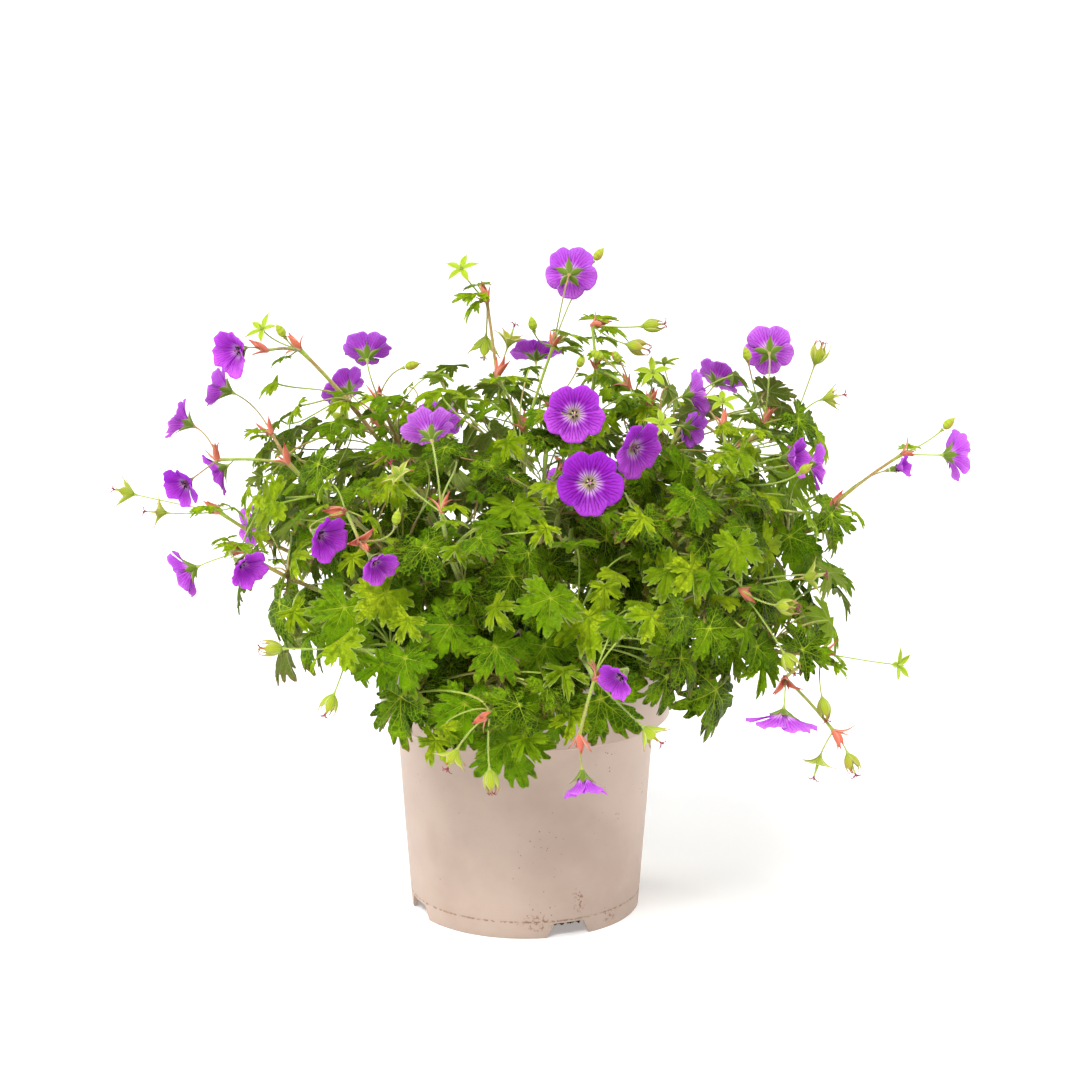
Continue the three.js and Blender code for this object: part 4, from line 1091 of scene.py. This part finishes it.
def mottled(name, scale, first, second, detail=2, **constants):
    """A finish for a small part: two near colours in soft spots."""
    finish = Finish(name, **constants)
    finish.colour(finish.blend(finish.noise(scale, detail), first, second))
    return finish


style_red = mottled("style_red", 300, paint(96, 16, 40), paint(172, 60, 84), Roughness=0.5)
style_red.relief(style_red.noise(900, 2), 0.1, 0.4)
seed_green = mottled("seed_green", 260, paint(124, 154, 40), paint(186, 200, 70), detail=3,
                     Roughness=0.5, Sheen_Weight=0.2)
seed_green.relief(seed_green.noise(800, 2), 0.15, 0.5)


def strokes_mesh(name, strokes, material, rounds=2):
    """Round stalks swept along their points, each with its own swelling radii, as one mesh."""
    sketch = bpy.data.curves.new(name, "CURVE")
    sketch.dimensions = "3D"
    sketch.bevel_depth = mm
    sketch.bevel_resolution = rounds
    sketch.use_fill_caps = True
    for points, radii in strokes:
        line = sketch.splines.new("POLY")
        line.points.add(len(points) - 1)
        line.points.foreach_set("co", np.column_stack((points * mm, np.ones(len(points)))).ravel())
        line.points.foreach_set("radius", np.asarray(radii, float))
        line.use_smooth = True
    piece = bpy.data.objects.new(name, sketch)
    bpy.context.collection.objects.link(piece)
    piece.data.materials.append(material)
    pick(piece)
    bpy.ops.object.convert(target="MESH")
    return piece


def ovoid(name, segments, rings, rule, material):
    """A ball drawn into a bud, a seed or an anther by a rule."""
    ball = started(name, bpy.ops.mesh.primitive_uv_sphere_add, segments=segments, ring_count=rings,
                   radius=1)
    shape(ball, rule)
    ball.data.materials.append(material)
    bpy.ops.object.shade_smooth()
    return ball


bud_girth, bud_length = 3.3, 10.2
seed_girth, seed_length, seed_aside = 0.95, 1.7, 1.25


def bud_form(places):
    """Five sepals still folded together, ribbed, with a fine point."""
    x, y, z = places.T
    climb = (z + 1) / 2
    girth = (1 + 0.09 * np.cos(5 * np.arctan2(y, x))) * (1 - 0.35 * climb ** 2)
    point = np.maximum(climb - 0.97, 0) * 70
    return np.column_stack((x * bud_girth * girth, y * bud_girth * girth, climb * bud_length + point)) * mm


def seed_form(places):
    """A seed beside the foot of the beak."""
    x, y, z = places.T
    return np.column_stack((x * seed_girth + seed_aside, y * seed_girth, z * seed_length + 1.8)) * mm


bud_model = ovoid("bud_model", 20, 9, bud_form, sepal_green)
seed_model = ovoid("seed_model", 6, 5, seed_form, seed_green.material)

column = np.array([(0, 0, 0), (0, 0, 3), (0, 0, 8), (0, 0, 12), (0, 0, 13.5)], float)
column_top = column[-1]
beak_model = strokes_mesh("beak_model", [(column, (1.5, 1.45, 1.0, 0.62, 0.45))], seed_green.material, 1)
prong_radii = (0.5, 0.42, 0.36, 0.2)
prongs = []
for k in range(5):
    out = outward(k * 2 * math.pi / 5)
    reach = 3.4 + 1.2 * (k % 2)
    prongs.append((np.array([column_top - (0, 0, 0.8), column_top + out * 0.5 + up * 1.2,
                             column_top + out * 0.6 * reach + up * 2.6,
                             column_top + out * reach + up * (2.4 - 0.8 * (k % 3))]), prong_radii))
prong_model = strokes_mesh("prong_model", prongs, style_red.material, 0)
stub_model = strokes_mesh("stub_model", [(column[:3] * 0.55, (1.3, 0.9, 0.3))], seed_green.material, 1)
sheet_foot = 0.9  # how far from the stalk's middle a sepal or bract starts

sepal = pointed_sheet("sepal_model", 9, 0.2, 1.1, 0.2, 0.04, sepal_green)
calyx_sepal = pointed_sheet("calyx_sepal_model", 9, 0.175, 1.0, 0.16, 0.04, calyx_green)
star_sepal = pointed_sheet("star_sepal_model", 9, 0.17, 0.85, 0.1, 0.045, star_green)
bract = pointed_sheet("bract_model", 8, 0.155, 0.75, 0.08, 0.035, bract_coral)


def grow_sheet(model, at, turned_to, turn, climb, curl, length, stretch=1.0, hinge=0.35, sunk=0.5):
    """A sepal or bract on its seat, rising by `climb` degrees and curling by `curl` over its length."""

    def lay(places):
        along, across, thick = places.T
        rise = np.radians(climb + curl * (along - hinge))
        radius = length * stretch * along * np.cos(rise) - thick * length * np.sin(rise) + sheet_foot
        height = length * stretch * along * np.sin(rise) + thick * length * np.cos(rise) - sunk
        flat = np.column_stack((radius * math.cos(turn) - across * length * math.sin(turn),
                                radius * math.sin(turn) + across * length * math.cos(turn), height))
        return (at + flat @ turned_to) * mm

    return copy_of(model, lay)


def grow_sepals(item, model, length, rise, curl, tone):
    """Five sepals round a head."""
    own = np.random.default_rng(int(abs(item["at"]).sum() * 10))
    grown = []
    for k in range(5):
        lean, stretch, sway = own.normal(0, 4), own.uniform(0.92, 1.04), own.normal(0, 3)
        grown.append(tinted(grow_sheet(model, item["at"], item["axes"], math.radians(72 * k + sway),
                                       rise + lean, curl, length, stretch), tone))
    return grown


def spun(turn):
    """Rows that turn a shape round its own +Z."""
    c, s = math.cos(turn), math.sin(turn)
    return np.array(((c, s, 0), (-s, c, 0), (0, 0, 1)))


def grow_head(item):
    """A bud, a star of sepals round a stub, or a seed head: five seeds, a beak and its forked tip."""
    own = np.random.default_rng(int(abs(item["at"]).sum() * 10) + 1)

    def stood(model, turn=0.0):
        return copy_of(model, lambda places: item["at"] * mm + places @ spun(turn) @ item["axes"])

    if item["kind"] == "bud":
        return [tinted(stood(bud_model), own.uniform(0, 0.3))]
    if item["kind"] == "star":
        curl = own.uniform(-26, 12)
        return [*grow_sepals(item, star_sepal, 12.8, 12, curl, 0.1), stood(stub_model)]
    seeds = [stood(seed_model, (k + 0.5) * 2 * math.pi / 5) for k in range(5)]
    is_closed = own.uniform() < 0.6
    rise, curl = (50, own.uniform(40, 56)) if is_closed else (46, own.uniform(-40, 10))
    turn = own.uniform(0, 2 * math.pi)
    return [*grow_sepals(item, sepal, own.uniform(14, 17), rise, curl, own.uniform(0.1, 0.7)), *seeds,
            stood(beak_model), stood(prong_model, turn)]


def grow_bracts(at, lean):
    """Four to six coral bracts clasp each fork."""
    own = np.random.default_rng(int(abs(at).sum() * 10) + 2)
    turned_to = axes(unit(lean + up * 0.35), np.array((0.3, -1, 0.2)))
    grown = []
    for k in range(own.integers(4, 7)):
        length, turn = own.uniform(10, 16.5), k * 2.2 + own.uniform(0, 0.7)
        climb, curl = own.uniform(58, 80), own.uniform(-42, 22)
        clasp = grow_sheet(bract, at, turned_to, turn, climb, curl, length, hinge=0.3, sunk=1.2)
        grown.append(tinted(clasp, own.uniform(0, 0.9)))
    return grown


# ---------------------------------------------------------------- the flowers
# Five broad violet petals overlap like roof tiles round a pale throat and open from a bell to a
# saucer. Dark fine veins fork on their way out from the throat; ten stamens with blackish anthers
# stand round the style. The petals are as thin as tissue, so the light comes through them.
def petal_skin(name, cool, warm, deep, throat, vein, vein_share):
    """A petal's face or back, on its map: along runs from the claw to the tip."""
    finish = Finish(name, Roughness=0.45, Specular_IOR_Level=0.15, Sheen_Weight=0.05)
    flat = finish.map()
    along, across = finish.parts_of(flat)[:2]
    tone = finish.attribute("tone")  # 0 is a bluish flower, 1 a pinkish one; upturned petals are lowered towards 0 as painted shade
    aside = (across - 0.5) * 2
    shade = finish.blend(tone, cool, warm)
    shade = finish.blend(along.between(0.25, 0.5) * along.between(0.95, 0.55) * 0.6, shade, deep)
    shade = finish.blend(finish.noise(4, 3, flat).between(0.45, 0.7) * 0.25, shade, deep)
    rough = finish.noise(9, 2, flat)
    pale = (along + rough * 0.2 - 0.1).between(0.5, 0.16)
    shade = finish.blend(pale * 0.9, shade, throat)
    fan = aside * 2.7 + (rough - 0.5) * along * 0.8
    off = abs(fan - round(fan))
    beside = abs(off - along.between(0.3, 0.8, 0.0, 0.27))
    width = 0.075 / along.atleast(0.3)
    veins = 1 - beside.between(width * 0.25, width)
    veins = veins * along.between(1.04, 0.8) * along.between(0.05, 0.14)
    shade = finish.blend(veins * vein_share, shade, vein)
    shade = finish.blend(along.between(0.3, 0.1), shade, paint(204, 208, 104))
    finish.colour(shade)
    finish.relief(finish.noise(11, 3, flat) * 0.6 - veins, 0.3, 0.7)
    finish.glow(0.46, paint(222, 104, 240))
    return finish.material


petal_face = petal_skin("petal_face", paint(150, 24, 200), paint(232, 114, 250), paint(150, 10, 182),
                        paint(255, 236, 250), paint(96, 0, 112), 0.9)
petal_back = petal_skin("petal_back", paint(198, 112, 236), paint(238, 158, 246), paint(194, 80, 222),
                        paint(250, 236, 242), paint(156, 32, 168), 0.9)

anther_dark = mottled("anther_dark", 900, paint(14, 6, 20), paint(52, 26, 50), Roughness=0.7)
filament_pink = mottled("filament_pink", 300, paint(176, 70, 160), paint(224, 176, 206), Roughness=0.5)
throat_green = mottled("throat_green", 500, paint(180, 190, 90), paint(226, 228, 160), Roughness=0.5)

petal_model = plain_sheet("petal_model", 11, 14)
shape(petal_model, lambda places: np.column_stack(((places[:, 0] + 1) / 2, places[:, 1], places[:, 2])))
petal_model.data.materials.append(petal_face)
petal_model.data.materials.append(petal_back)

seat_lift = 0.6  # of the petals over the point where the stalk ends
petal_thickness = 0.4
first_petal, petal_apart = 36, 72  # degrees
half_petal = 42  # degrees from its middle to its edge


def grow_petal(item, k, own):
    """One petal of the flower, wider towards its notched tip and tucked under the next one."""
    length, turned_to = item["petal"], item["axes"]
    stretch, nod = own.uniform(0.96, 1.03), own.normal(0, 0.07)
    phase, crimp = own.uniform(0, 6.3, 2)
    middle = math.radians(first_petal + petal_apart * k)

    def lay(places):
        along, across = places[:, 0], places[:, 1]
        wide = np.abs(across)
        notch = 0.035 * np.clip(1 - wide / 0.35, 0, 1) ** 2
        edge = 1 - notch - 0.25 * wide ** 2.6 - 0.012 * np.sin(9 * across + crimp)
        reach = along * edge * stretch
        lean = np.radians(item["rise"]) * (1.22 + nod * along - 0.545 * (reach - 0.56))
        claw = np.clip(along / 0.3, 0, 1)
        turn = middle + across * (np.radians(half_petal) * (0.5 + 0.5 * claw * (2 - claw)))
        radius = length * reach * np.cos(lean) + 0.35
        ruffle = 0.04 * np.sin(6 * across + phase) * along ** 2.5
        ruffle = ruffle + 0.018 * np.sin(13 * across + crimp) * along ** 4
        crease = 0.012 * np.cos(math.pi * 5 * across) * along ** 2
        height = length * (reach * np.sin(lean) + 0.034 * across * claw + ruffle + crease)
        flat = np.column_stack((radius * np.cos(turn), radius * np.sin(turn), height))
        return (item["seat"] + flat @ turned_to) * mm

    # Painted shade: a petal that points upwards is given a lower tone, darker and bluer.
    upward_lean_for_painted_shade = (outward(middle) @ turned_to)[2]
    tone = item["tone"] - 0.34 * upward_lean_for_painted_shade + own.normal(0, 0.08)
    return tinted(copy_of(petal_model, lay), min(1, max(0, tone)))


# the heart of a flower: ten stamens, every other one longer, round a style with five tips, on a disc
filament_radii, style_radii, style_tip_radii = (0.36, 0.26, 0.16), (0.75, 0.55, 0.4), (0.26, 0.22, 0.1)
filaments, anthers = [], []
anther_model = ovoid("anther_model", 6, 5, lambda places: places * (0.55, 1.05, 0.45) * mm,
                     anther_dark.material)
for k in range(10):
    turn = k * 2 * math.pi / 10 + 0.2 * (-1) ** k
    out, is_long = outward(turn), k % 2
    points = np.array([out * 1.1 + up * 0.6, out * 1.4 + up * 2.4,
                       out * (1.7 + 0.7 * is_long) + up * (5.2 + 1.0 * is_long)])
    filaments.append((points, filament_radii))
    across = spun(turn + math.pi / 2)
    anthers.append(copy_of(anther_model, lambda places: places @ across + points[-1] * mm))
filaments.append((np.array([(0, 0, 0.3), (0, 0, 3.5), (0, 0, 6.3)]), style_radii))
for k in range(5):
    out = outward(k * 2 * math.pi / 5)
    filaments.append((np.array([up * 6.1, up * 7.0 + out * 0.6, up * 7.3 + out * 1.5]), style_tip_radii))
disc = ovoid("throat_disc", 20, 8, lambda places: places * (2.1, 2.1, 0.9) * mm + up * 0.4 * mm,
             throat_green.material)
centre_model = joined("centre_model", [strokes_mesh("filaments", filaments, filament_pink.material, 0),
                                       *anthers, disc])
bpy.data.objects.remove(anther_model)

flowers = []
for item in (item for plant in plants for item in plant["blooms"]):
    name = f"flower_{len(flowers) + 1:02d}"
    own = np.random.default_rng(101 + len(flowers))
    item["tone"] = own.uniform(0.2, 0.85)
    item["seat"] = item["at"] + item["axes"][2] * (seat_lift + petal_thickness)
    petals = joined(name, [grow_petal(item, k, own) for k in range(5)])
    apply_modifier(petals, "thickness", "SOLIDIFY", thickness=petal_thickness * mm, offset=-1,
                   material_offset=1)
    bpy.ops.object.shade_smooth()
    heart = copy_of(centre_model, lambda places: places @ item["axes"] + item["seat"] * mm)
    flower = joined(name, [petals, heart])
    finished(flower, replaces=[f"bloom_{len(flowers) + 1:02d}"])
    flowers.append(flower)
for model in (petal_model, centre_model):
    bpy.data.objects.remove(model)

# ---------------------------------------------------------------- the leafy stems
# Each stem with all that grows on it is one piece, as it would be lifted out of the pot: hairy stalks,
# green where they are young and flushed brown-pink in the sun, leaves, green heads and bracts. Leaves
# fill the dome as far as they touch no other leaf, stalk or flower and hide no flower at the front.
fill_shells = [
    ("large", 84, 0.94, -0.1, 0.95, (22, 30), 51),
    ("large", 72, 0.8, -0.1, 0.9, (22, 31), 67),
    ("large", 60, 0.62, -0.1, 0.85, (22, 30), 71),
    ("large", 60, 0.48, -0.05, 0.8, (20, 28), 149),
    ("young", 84, 1.0, -0.1, 0.97, (15, 23), 83),
    ("large", 72, 0.86, -0.24, 0.95, (17, 25), 97),
    ("large", 72, 0.7, -0.2, 0.7, (16, 24), 131),
    ("small", 84, 0.97, -0.2, 0.95, (11, 17), 113),
]
longest_filler = 125
# the right side is the fuller one: three shells more, from this x on
right_from = 95
right_shells = [
    ("large", 130, 0.95, -0.1, 0.85, (21, 29), 181),
    ("large", 130, 0.8, -0.15, 0.8, (21, 29), 191),
    ("large", 130, 1.04, -0.15, 0.75, (20, 27), 211),
]
eye = np.array((0, -camera_back, camera_height)) / mm
lowest_in_front, lowest_aside = soil_top - 42, soil_top + 36
# leaves hang over this stretch of the rim, which ends softly at its sides and towards the back
overhang_middle, overhang_half, overhang_side, overhang_back = -15, 38, 25, 60
left_edge, left_slope = 140, 1.6
flower_room, head_room = 14, 7  # that leaves leave round a head's lines of sight
face_room_length, camera_room_length = 45, 150
rear_from = 45  # the camera sees no head behind this y
joints_tried, fork_cost = 3, 1.2


def felt(points, faces):
    """A shape to feel for neighbours with: its middle, how far it reaches from there, and its faces."""
    middle = points.mean(axis=0)
    reach = np.linalg.norm(points - middle, axis=1).max()
    return middle, reach, BVHTree.FromPolygons(points.tolist(), faces, epsilon=0.5)


def touches(felt_shape, others):
    """Whether a felt shape meets one of the others."""
    middle, reach, tree = felt_shape
    return any(math.dist(middle, place) < reach + far and tree.overlap(other)
               for place, far, other in others)


def felt_piece(piece):
    """A finished piece as it is."""
    points = np.empty(len(piece.data.vertices) * 3)
    piece.data.vertices.foreach_get("co", points)
    return felt(points.reshape(-1, 3) / mm, [tuple(face.vertices) for face in piece.data.polygons])


fan_outlines = {form: lobed_outline(step, reaches, 0.45, 0.95, 0)[::3]
                for form, (step, _, reaches, _) in leaf_forms.items()}


def felt_blade(leaf):
    """A coarse fan in the leaf's place."""
    angles, shares = np.array(fan_outlines[leaf["form"]]).T
    angles = np.radians(angles)
    drop = np.where(shares > 0.75, -0.22 * shares ** 2, 0)
    rim = np.column_stack((shares * np.cos(angles), shares * np.sin(angles), drop)) * leaf["size"]
    points = np.vstack((leaf["at"], leaf["at"] + rim @ leaf["axes"]))
    return felt(points, [(0, k + 1, (k + 1) % len(rim) + 1) for k in range(len(rim))])


def felt_stalk(points):
    """A thin three-cornered tube in a stalk's place."""
    ring = np.array(((0.9, 0, 0), (-0.45, 0.8, 0), (-0.45, -0.8, 0)))
    corners = np.array([point + corner for point in points for corner in ring])
    faces = [(3 * k + i, 3 * k + (i + 1) % 3, 3 * k + 3 + (i + 1) % 3, 3 * k + 3 + i)
             for k in range(len(points) - 1) for i in range(3)]
    return felt(corners, faces)


blades = [felt_blade(leaf) for plant in plants for leaf in plant["leaves"]]
stalks = [felt_stalk(points[2:]) for plant in plants for points, _ in plant["strokes"]]
petals_and_pot = [felt_piece(piece) for piece in (*flowers, pot)]
heads = [item for plant in plants for item in plant["blooms"] + plant["heads"]]
all_joints = np.array([joint for plant in plants for joint in plant["joints"]])
at_fork = np.tile(np.arange(stem_steps) == stem_steps - 1, len(plants))
joint_owners = [plant for plant in plants for joint in plant["joints"]]


def lowest_at(place):
    """Leaves hang over the rim in front only; at the sides and the back they stay above it."""
    aside = (abs(place[0] - overhang_middle) - overhang_half) / overhang_side
    aside = min(1, max(0, aside, place[1] / overhang_back))
    raised_left = left_slope * max(0, -place[0] - left_edge)
    return lowest_in_front + (lowest_aside - lowest_in_front) * aside + raised_left


def tousled(leaf):
    """The leaf tipped and turned out of the dome's even slope, as its neighbours push it."""
    own = np.random.default_rng(int(leaf["wild"] * 1e9) + 1)
    forward, normal = leaf["axes"][::2]
    leaf["axes"] = axes(normal + own.normal(0, 0.33, 3), forward + own.normal(0, 0.35, 3))
    return leaf


def hides_a_head(leaf):
    """Whether the leaf stands close before a head, or before a front one as the camera sees it."""
    for item in heads:
        away = leaf["at"] - item["at"]
        room = (flower_room if item["kind"] == "bloom" else head_room) + leaf["size"] * 0.7
        to_camera = camera_room_length if item["at"][1] < rear_from else 0
        for way, length in ((unit(item["faces"]), face_room_length), (unit(eye - item["at"]), to_camera)):
            if np.linalg.norm(away - way * max(0, min(length, away @ way))) < room:
                return True
    return False


def stalked(leaf):
    """The nearest stem with a free way to the blade from within, the stalk's curve and its shape. A
    fork bears few leaf stalks, so its joint costs more."""
    costs = petiole_costs(leaf, all_joints)
    costs += never * (np.hypot(*all_joints[:, :2].T) > math.hypot(*leaf["at"][:2]) + 6)
    costs *= 1 + fork_cost * at_fork
    for index in np.argsort(costs)[:joints_tried]:
        if costs[index] < longest_filler:
            hull = petiole_hull(leaf, all_joints[index])
            stalk = felt_stalk(bezier(hull, np.linspace(0, 1, 9))[1:-1])
            if not touches(stalk, blades) and not touches(stalk, petals_and_pot):
                return joint_owners[index], hull, stalk
    return None


for shell in fill_shells + right_shells:
    for i in range(shell[1]):
        for attempt in range(tries):
            leaf = tousled(leaf_candidate(shell, i, attempt))
            if shell in right_shells and leaf["at"][0] < right_from:
                continue
            if leaf["at"][2] < lowest_at(leaf["at"]) or hides_a_head(leaf):
                continue
            blade = felt_blade(leaf)
            if touches(blade, blades) or touches(blade, stalks) or touches(blade, petals_and_pot):
                continue
            way = stalked(leaf)
            if way:
                plant, hull, stalk = way
                blades.append(blade)
                stalks.append(stalk)
                add_leaf(leaf, plant, hull)
                break

# young leaves unfold at the forks and along the upper stems, two to five together and up to three
# more at the right
smallest_young = 12
for plant in plants:
    nodes = [(at, 21) for at, _ in plant["forks"]] + [(joint, 20) for joint in plant["joints"][2:4]]
    for at, biggest in nodes:
        own = np.random.default_rng(int(abs(at).sum() * 10) + 3)
        for k in range(own.integers(2, 6) + round(3 * min(1, max(0, at[0] / 120)))):
            out = unit(unit((at[0], at[1], 0)) * 0.6 + own.normal(0, 0.7, 3))
            end = at + out * own.uniform(5, 16)
            normal = unit(up * 0.8 + out * own.uniform(-0.2, 0.6))
            young = {"at": end, "axes": axes(normal, out + 0.3 * own.normal(0, 1, 3)),
                     "size": own.uniform(smallest_young, biggest), "form": "young",
                     "wild": own.uniform(), "tone": own.uniform(0.65, 1)}
            blade = felt_blade(young)
            if not (hides_a_head(young) or touches(blade, blades) or touches(blade, petals_and_pot)):
                blades.append(blade)
                add_leaf(young, plant, [at, at + out * 3 + up * 1.5, end - normal * 2, end])

stalk_green = Finish("stalk_green", Roughness=0.5, Specular_IOR_Level=0.35, Sheen_Weight=0.3)
z = stalk_green.parts_of(stalk_green.places())[2]
flush = stalk_green.noise(18, 3).between(0.45, 0.62) * (z / mm).between(150, 300, 0.25, 0.8)
shade = stalk_green.blend(flush, paint(142, 166, 50), paint(160, 98, 72))
shade = stalk_green.blend(stalk_green.noise(500, 3).between(0.4, 0.7) * 0.3, shade, paint(196, 206, 96))
stalk_green.colour(shade)
stalk_green.relief(stalk_green.noise(1200, 2), 0.12, 0.5)

# fine white hairs stand off the upper stalks: one sleeve of them round a straight stretch is laid
# along each stalk as often as it takes
hair_length, hair_width = 0.9, 0.04
sleeve_length, sleeve_hairs, sleeve_radius = 18, 115, 0.85
hair_draw = np.random.default_rng(21)
hair_white = mottled("hair_white", 700, paint(226, 230, 200), paint(250, 248, 238), Roughness=0.6,
                     Sheen_Weight=0.4)
hair = started("hair", bpy.ops.mesh.primitive_cone_add, vertices=3, radius1=hair_width,
               depth=hair_length, end_fill_type="NOTHING")
hair.data.materials.append(hair_white.material)
sleeve = []
for _ in range(sleeve_hairs):
    turn, along = hair_draw.uniform(0, 2 * math.pi), hair_draw.uniform(0, sleeve_length)
    lean = hair_draw.normal(0.15, 0.3)

    def stand(places):
        x, y, z = places.T
        out = sleeve_radius + (z + hair_length / 2) * math.cos(lean)
        return np.column_stack((out * math.cos(turn) - x * math.sin(turn),
                                out * math.sin(turn) + x * math.cos(turn),
                                along + y + (z + hair_length / 2) * math.sin(lean)))

    sleeve.append(copy_of(hair, stand))
hair_sleeve = joined("hair_sleeve", sleeve)
bpy.data.objects.remove(hair)


def grow_hairs(points, radii, start=0.0):
    """Hair sleeves along a stalk from a share of its length on."""
    steps = np.concatenate(([0], np.cumsum(np.linalg.norm(np.diff(points, axis=0), axis=1))))
    ways = np.gradient(points, steps, axis=0)
    across = np.eye(3)[np.argmin(np.abs(points[-1] - points[0]))]
    grown = []
    for first in np.arange(steps[-1] * start, steps[-1] - sleeve_length * 0.6, sleeve_length):

        def lay(places):
            x, y, z = places.T
            ring = np.hypot(x, y)
            here = np.minimum(first + z, steps[-1])
            middle = np.column_stack([np.interp(here, steps, line) for line in points.T])
            way = np.column_stack([np.interp(here, steps, line) for line in ways.T])
            way /= np.linalg.norm(way, axis=1)[:, None]
            side = np.cross(way, across)
            side /= np.linalg.norm(side, axis=1)[:, None]
            spread = (ring - 1 + np.interp(here, steps, radii)) / ring
            aside = (x * spread)[:, None] * side + (y * spread)[:, None] * np.cross(way, side)
            return (middle + aside) * mm

        grown.append(copy_of(hair_sleeve, lay))
    return grown


hairy_from = 0.45  # of a main stem's length
calyx_length, widest_petal = 12.5, 19
for plant in plants:
    name = f"leafy_stem_{plant['number']:02d}"
    grown = [strokes_mesh("stalks", plant["strokes"], stalk_green.material)]
    grown += [grow_leaf(leaf) for leaf in plant["leaves"]]
    for item in plant["blooms"]:
        length = calyx_length * min(1, item["petal"] / widest_petal)
        grown += grow_sepals(item, calyx_sepal, length, item["rise"] * 1.34, -item["rise"] * 0.3, 0.0)
    for item in plant["heads"]:
        grown += grow_head(item)
    for at, lean in plant["forks"]:
        grown += grow_bracts(at, lean)
    grown += grow_hairs(*plant["strokes"][0], hairy_from)
    for points, radii in plant["strokes"][1:plant["bare_strokes"]]:
        grown += grow_hairs(points, radii)
    piece = joined(f"shoot_{plant['number']:02d}", grown)
    finished(piece, replaces=[name])
for model in (sepal, calyx_sepal, star_sepal, bract, bud_model, seed_model, beak_model, prong_model,
              stub_model, hair_sleeve, *sum(leaf_models.values(), [])):
    bpy.data.objects.remove(model)
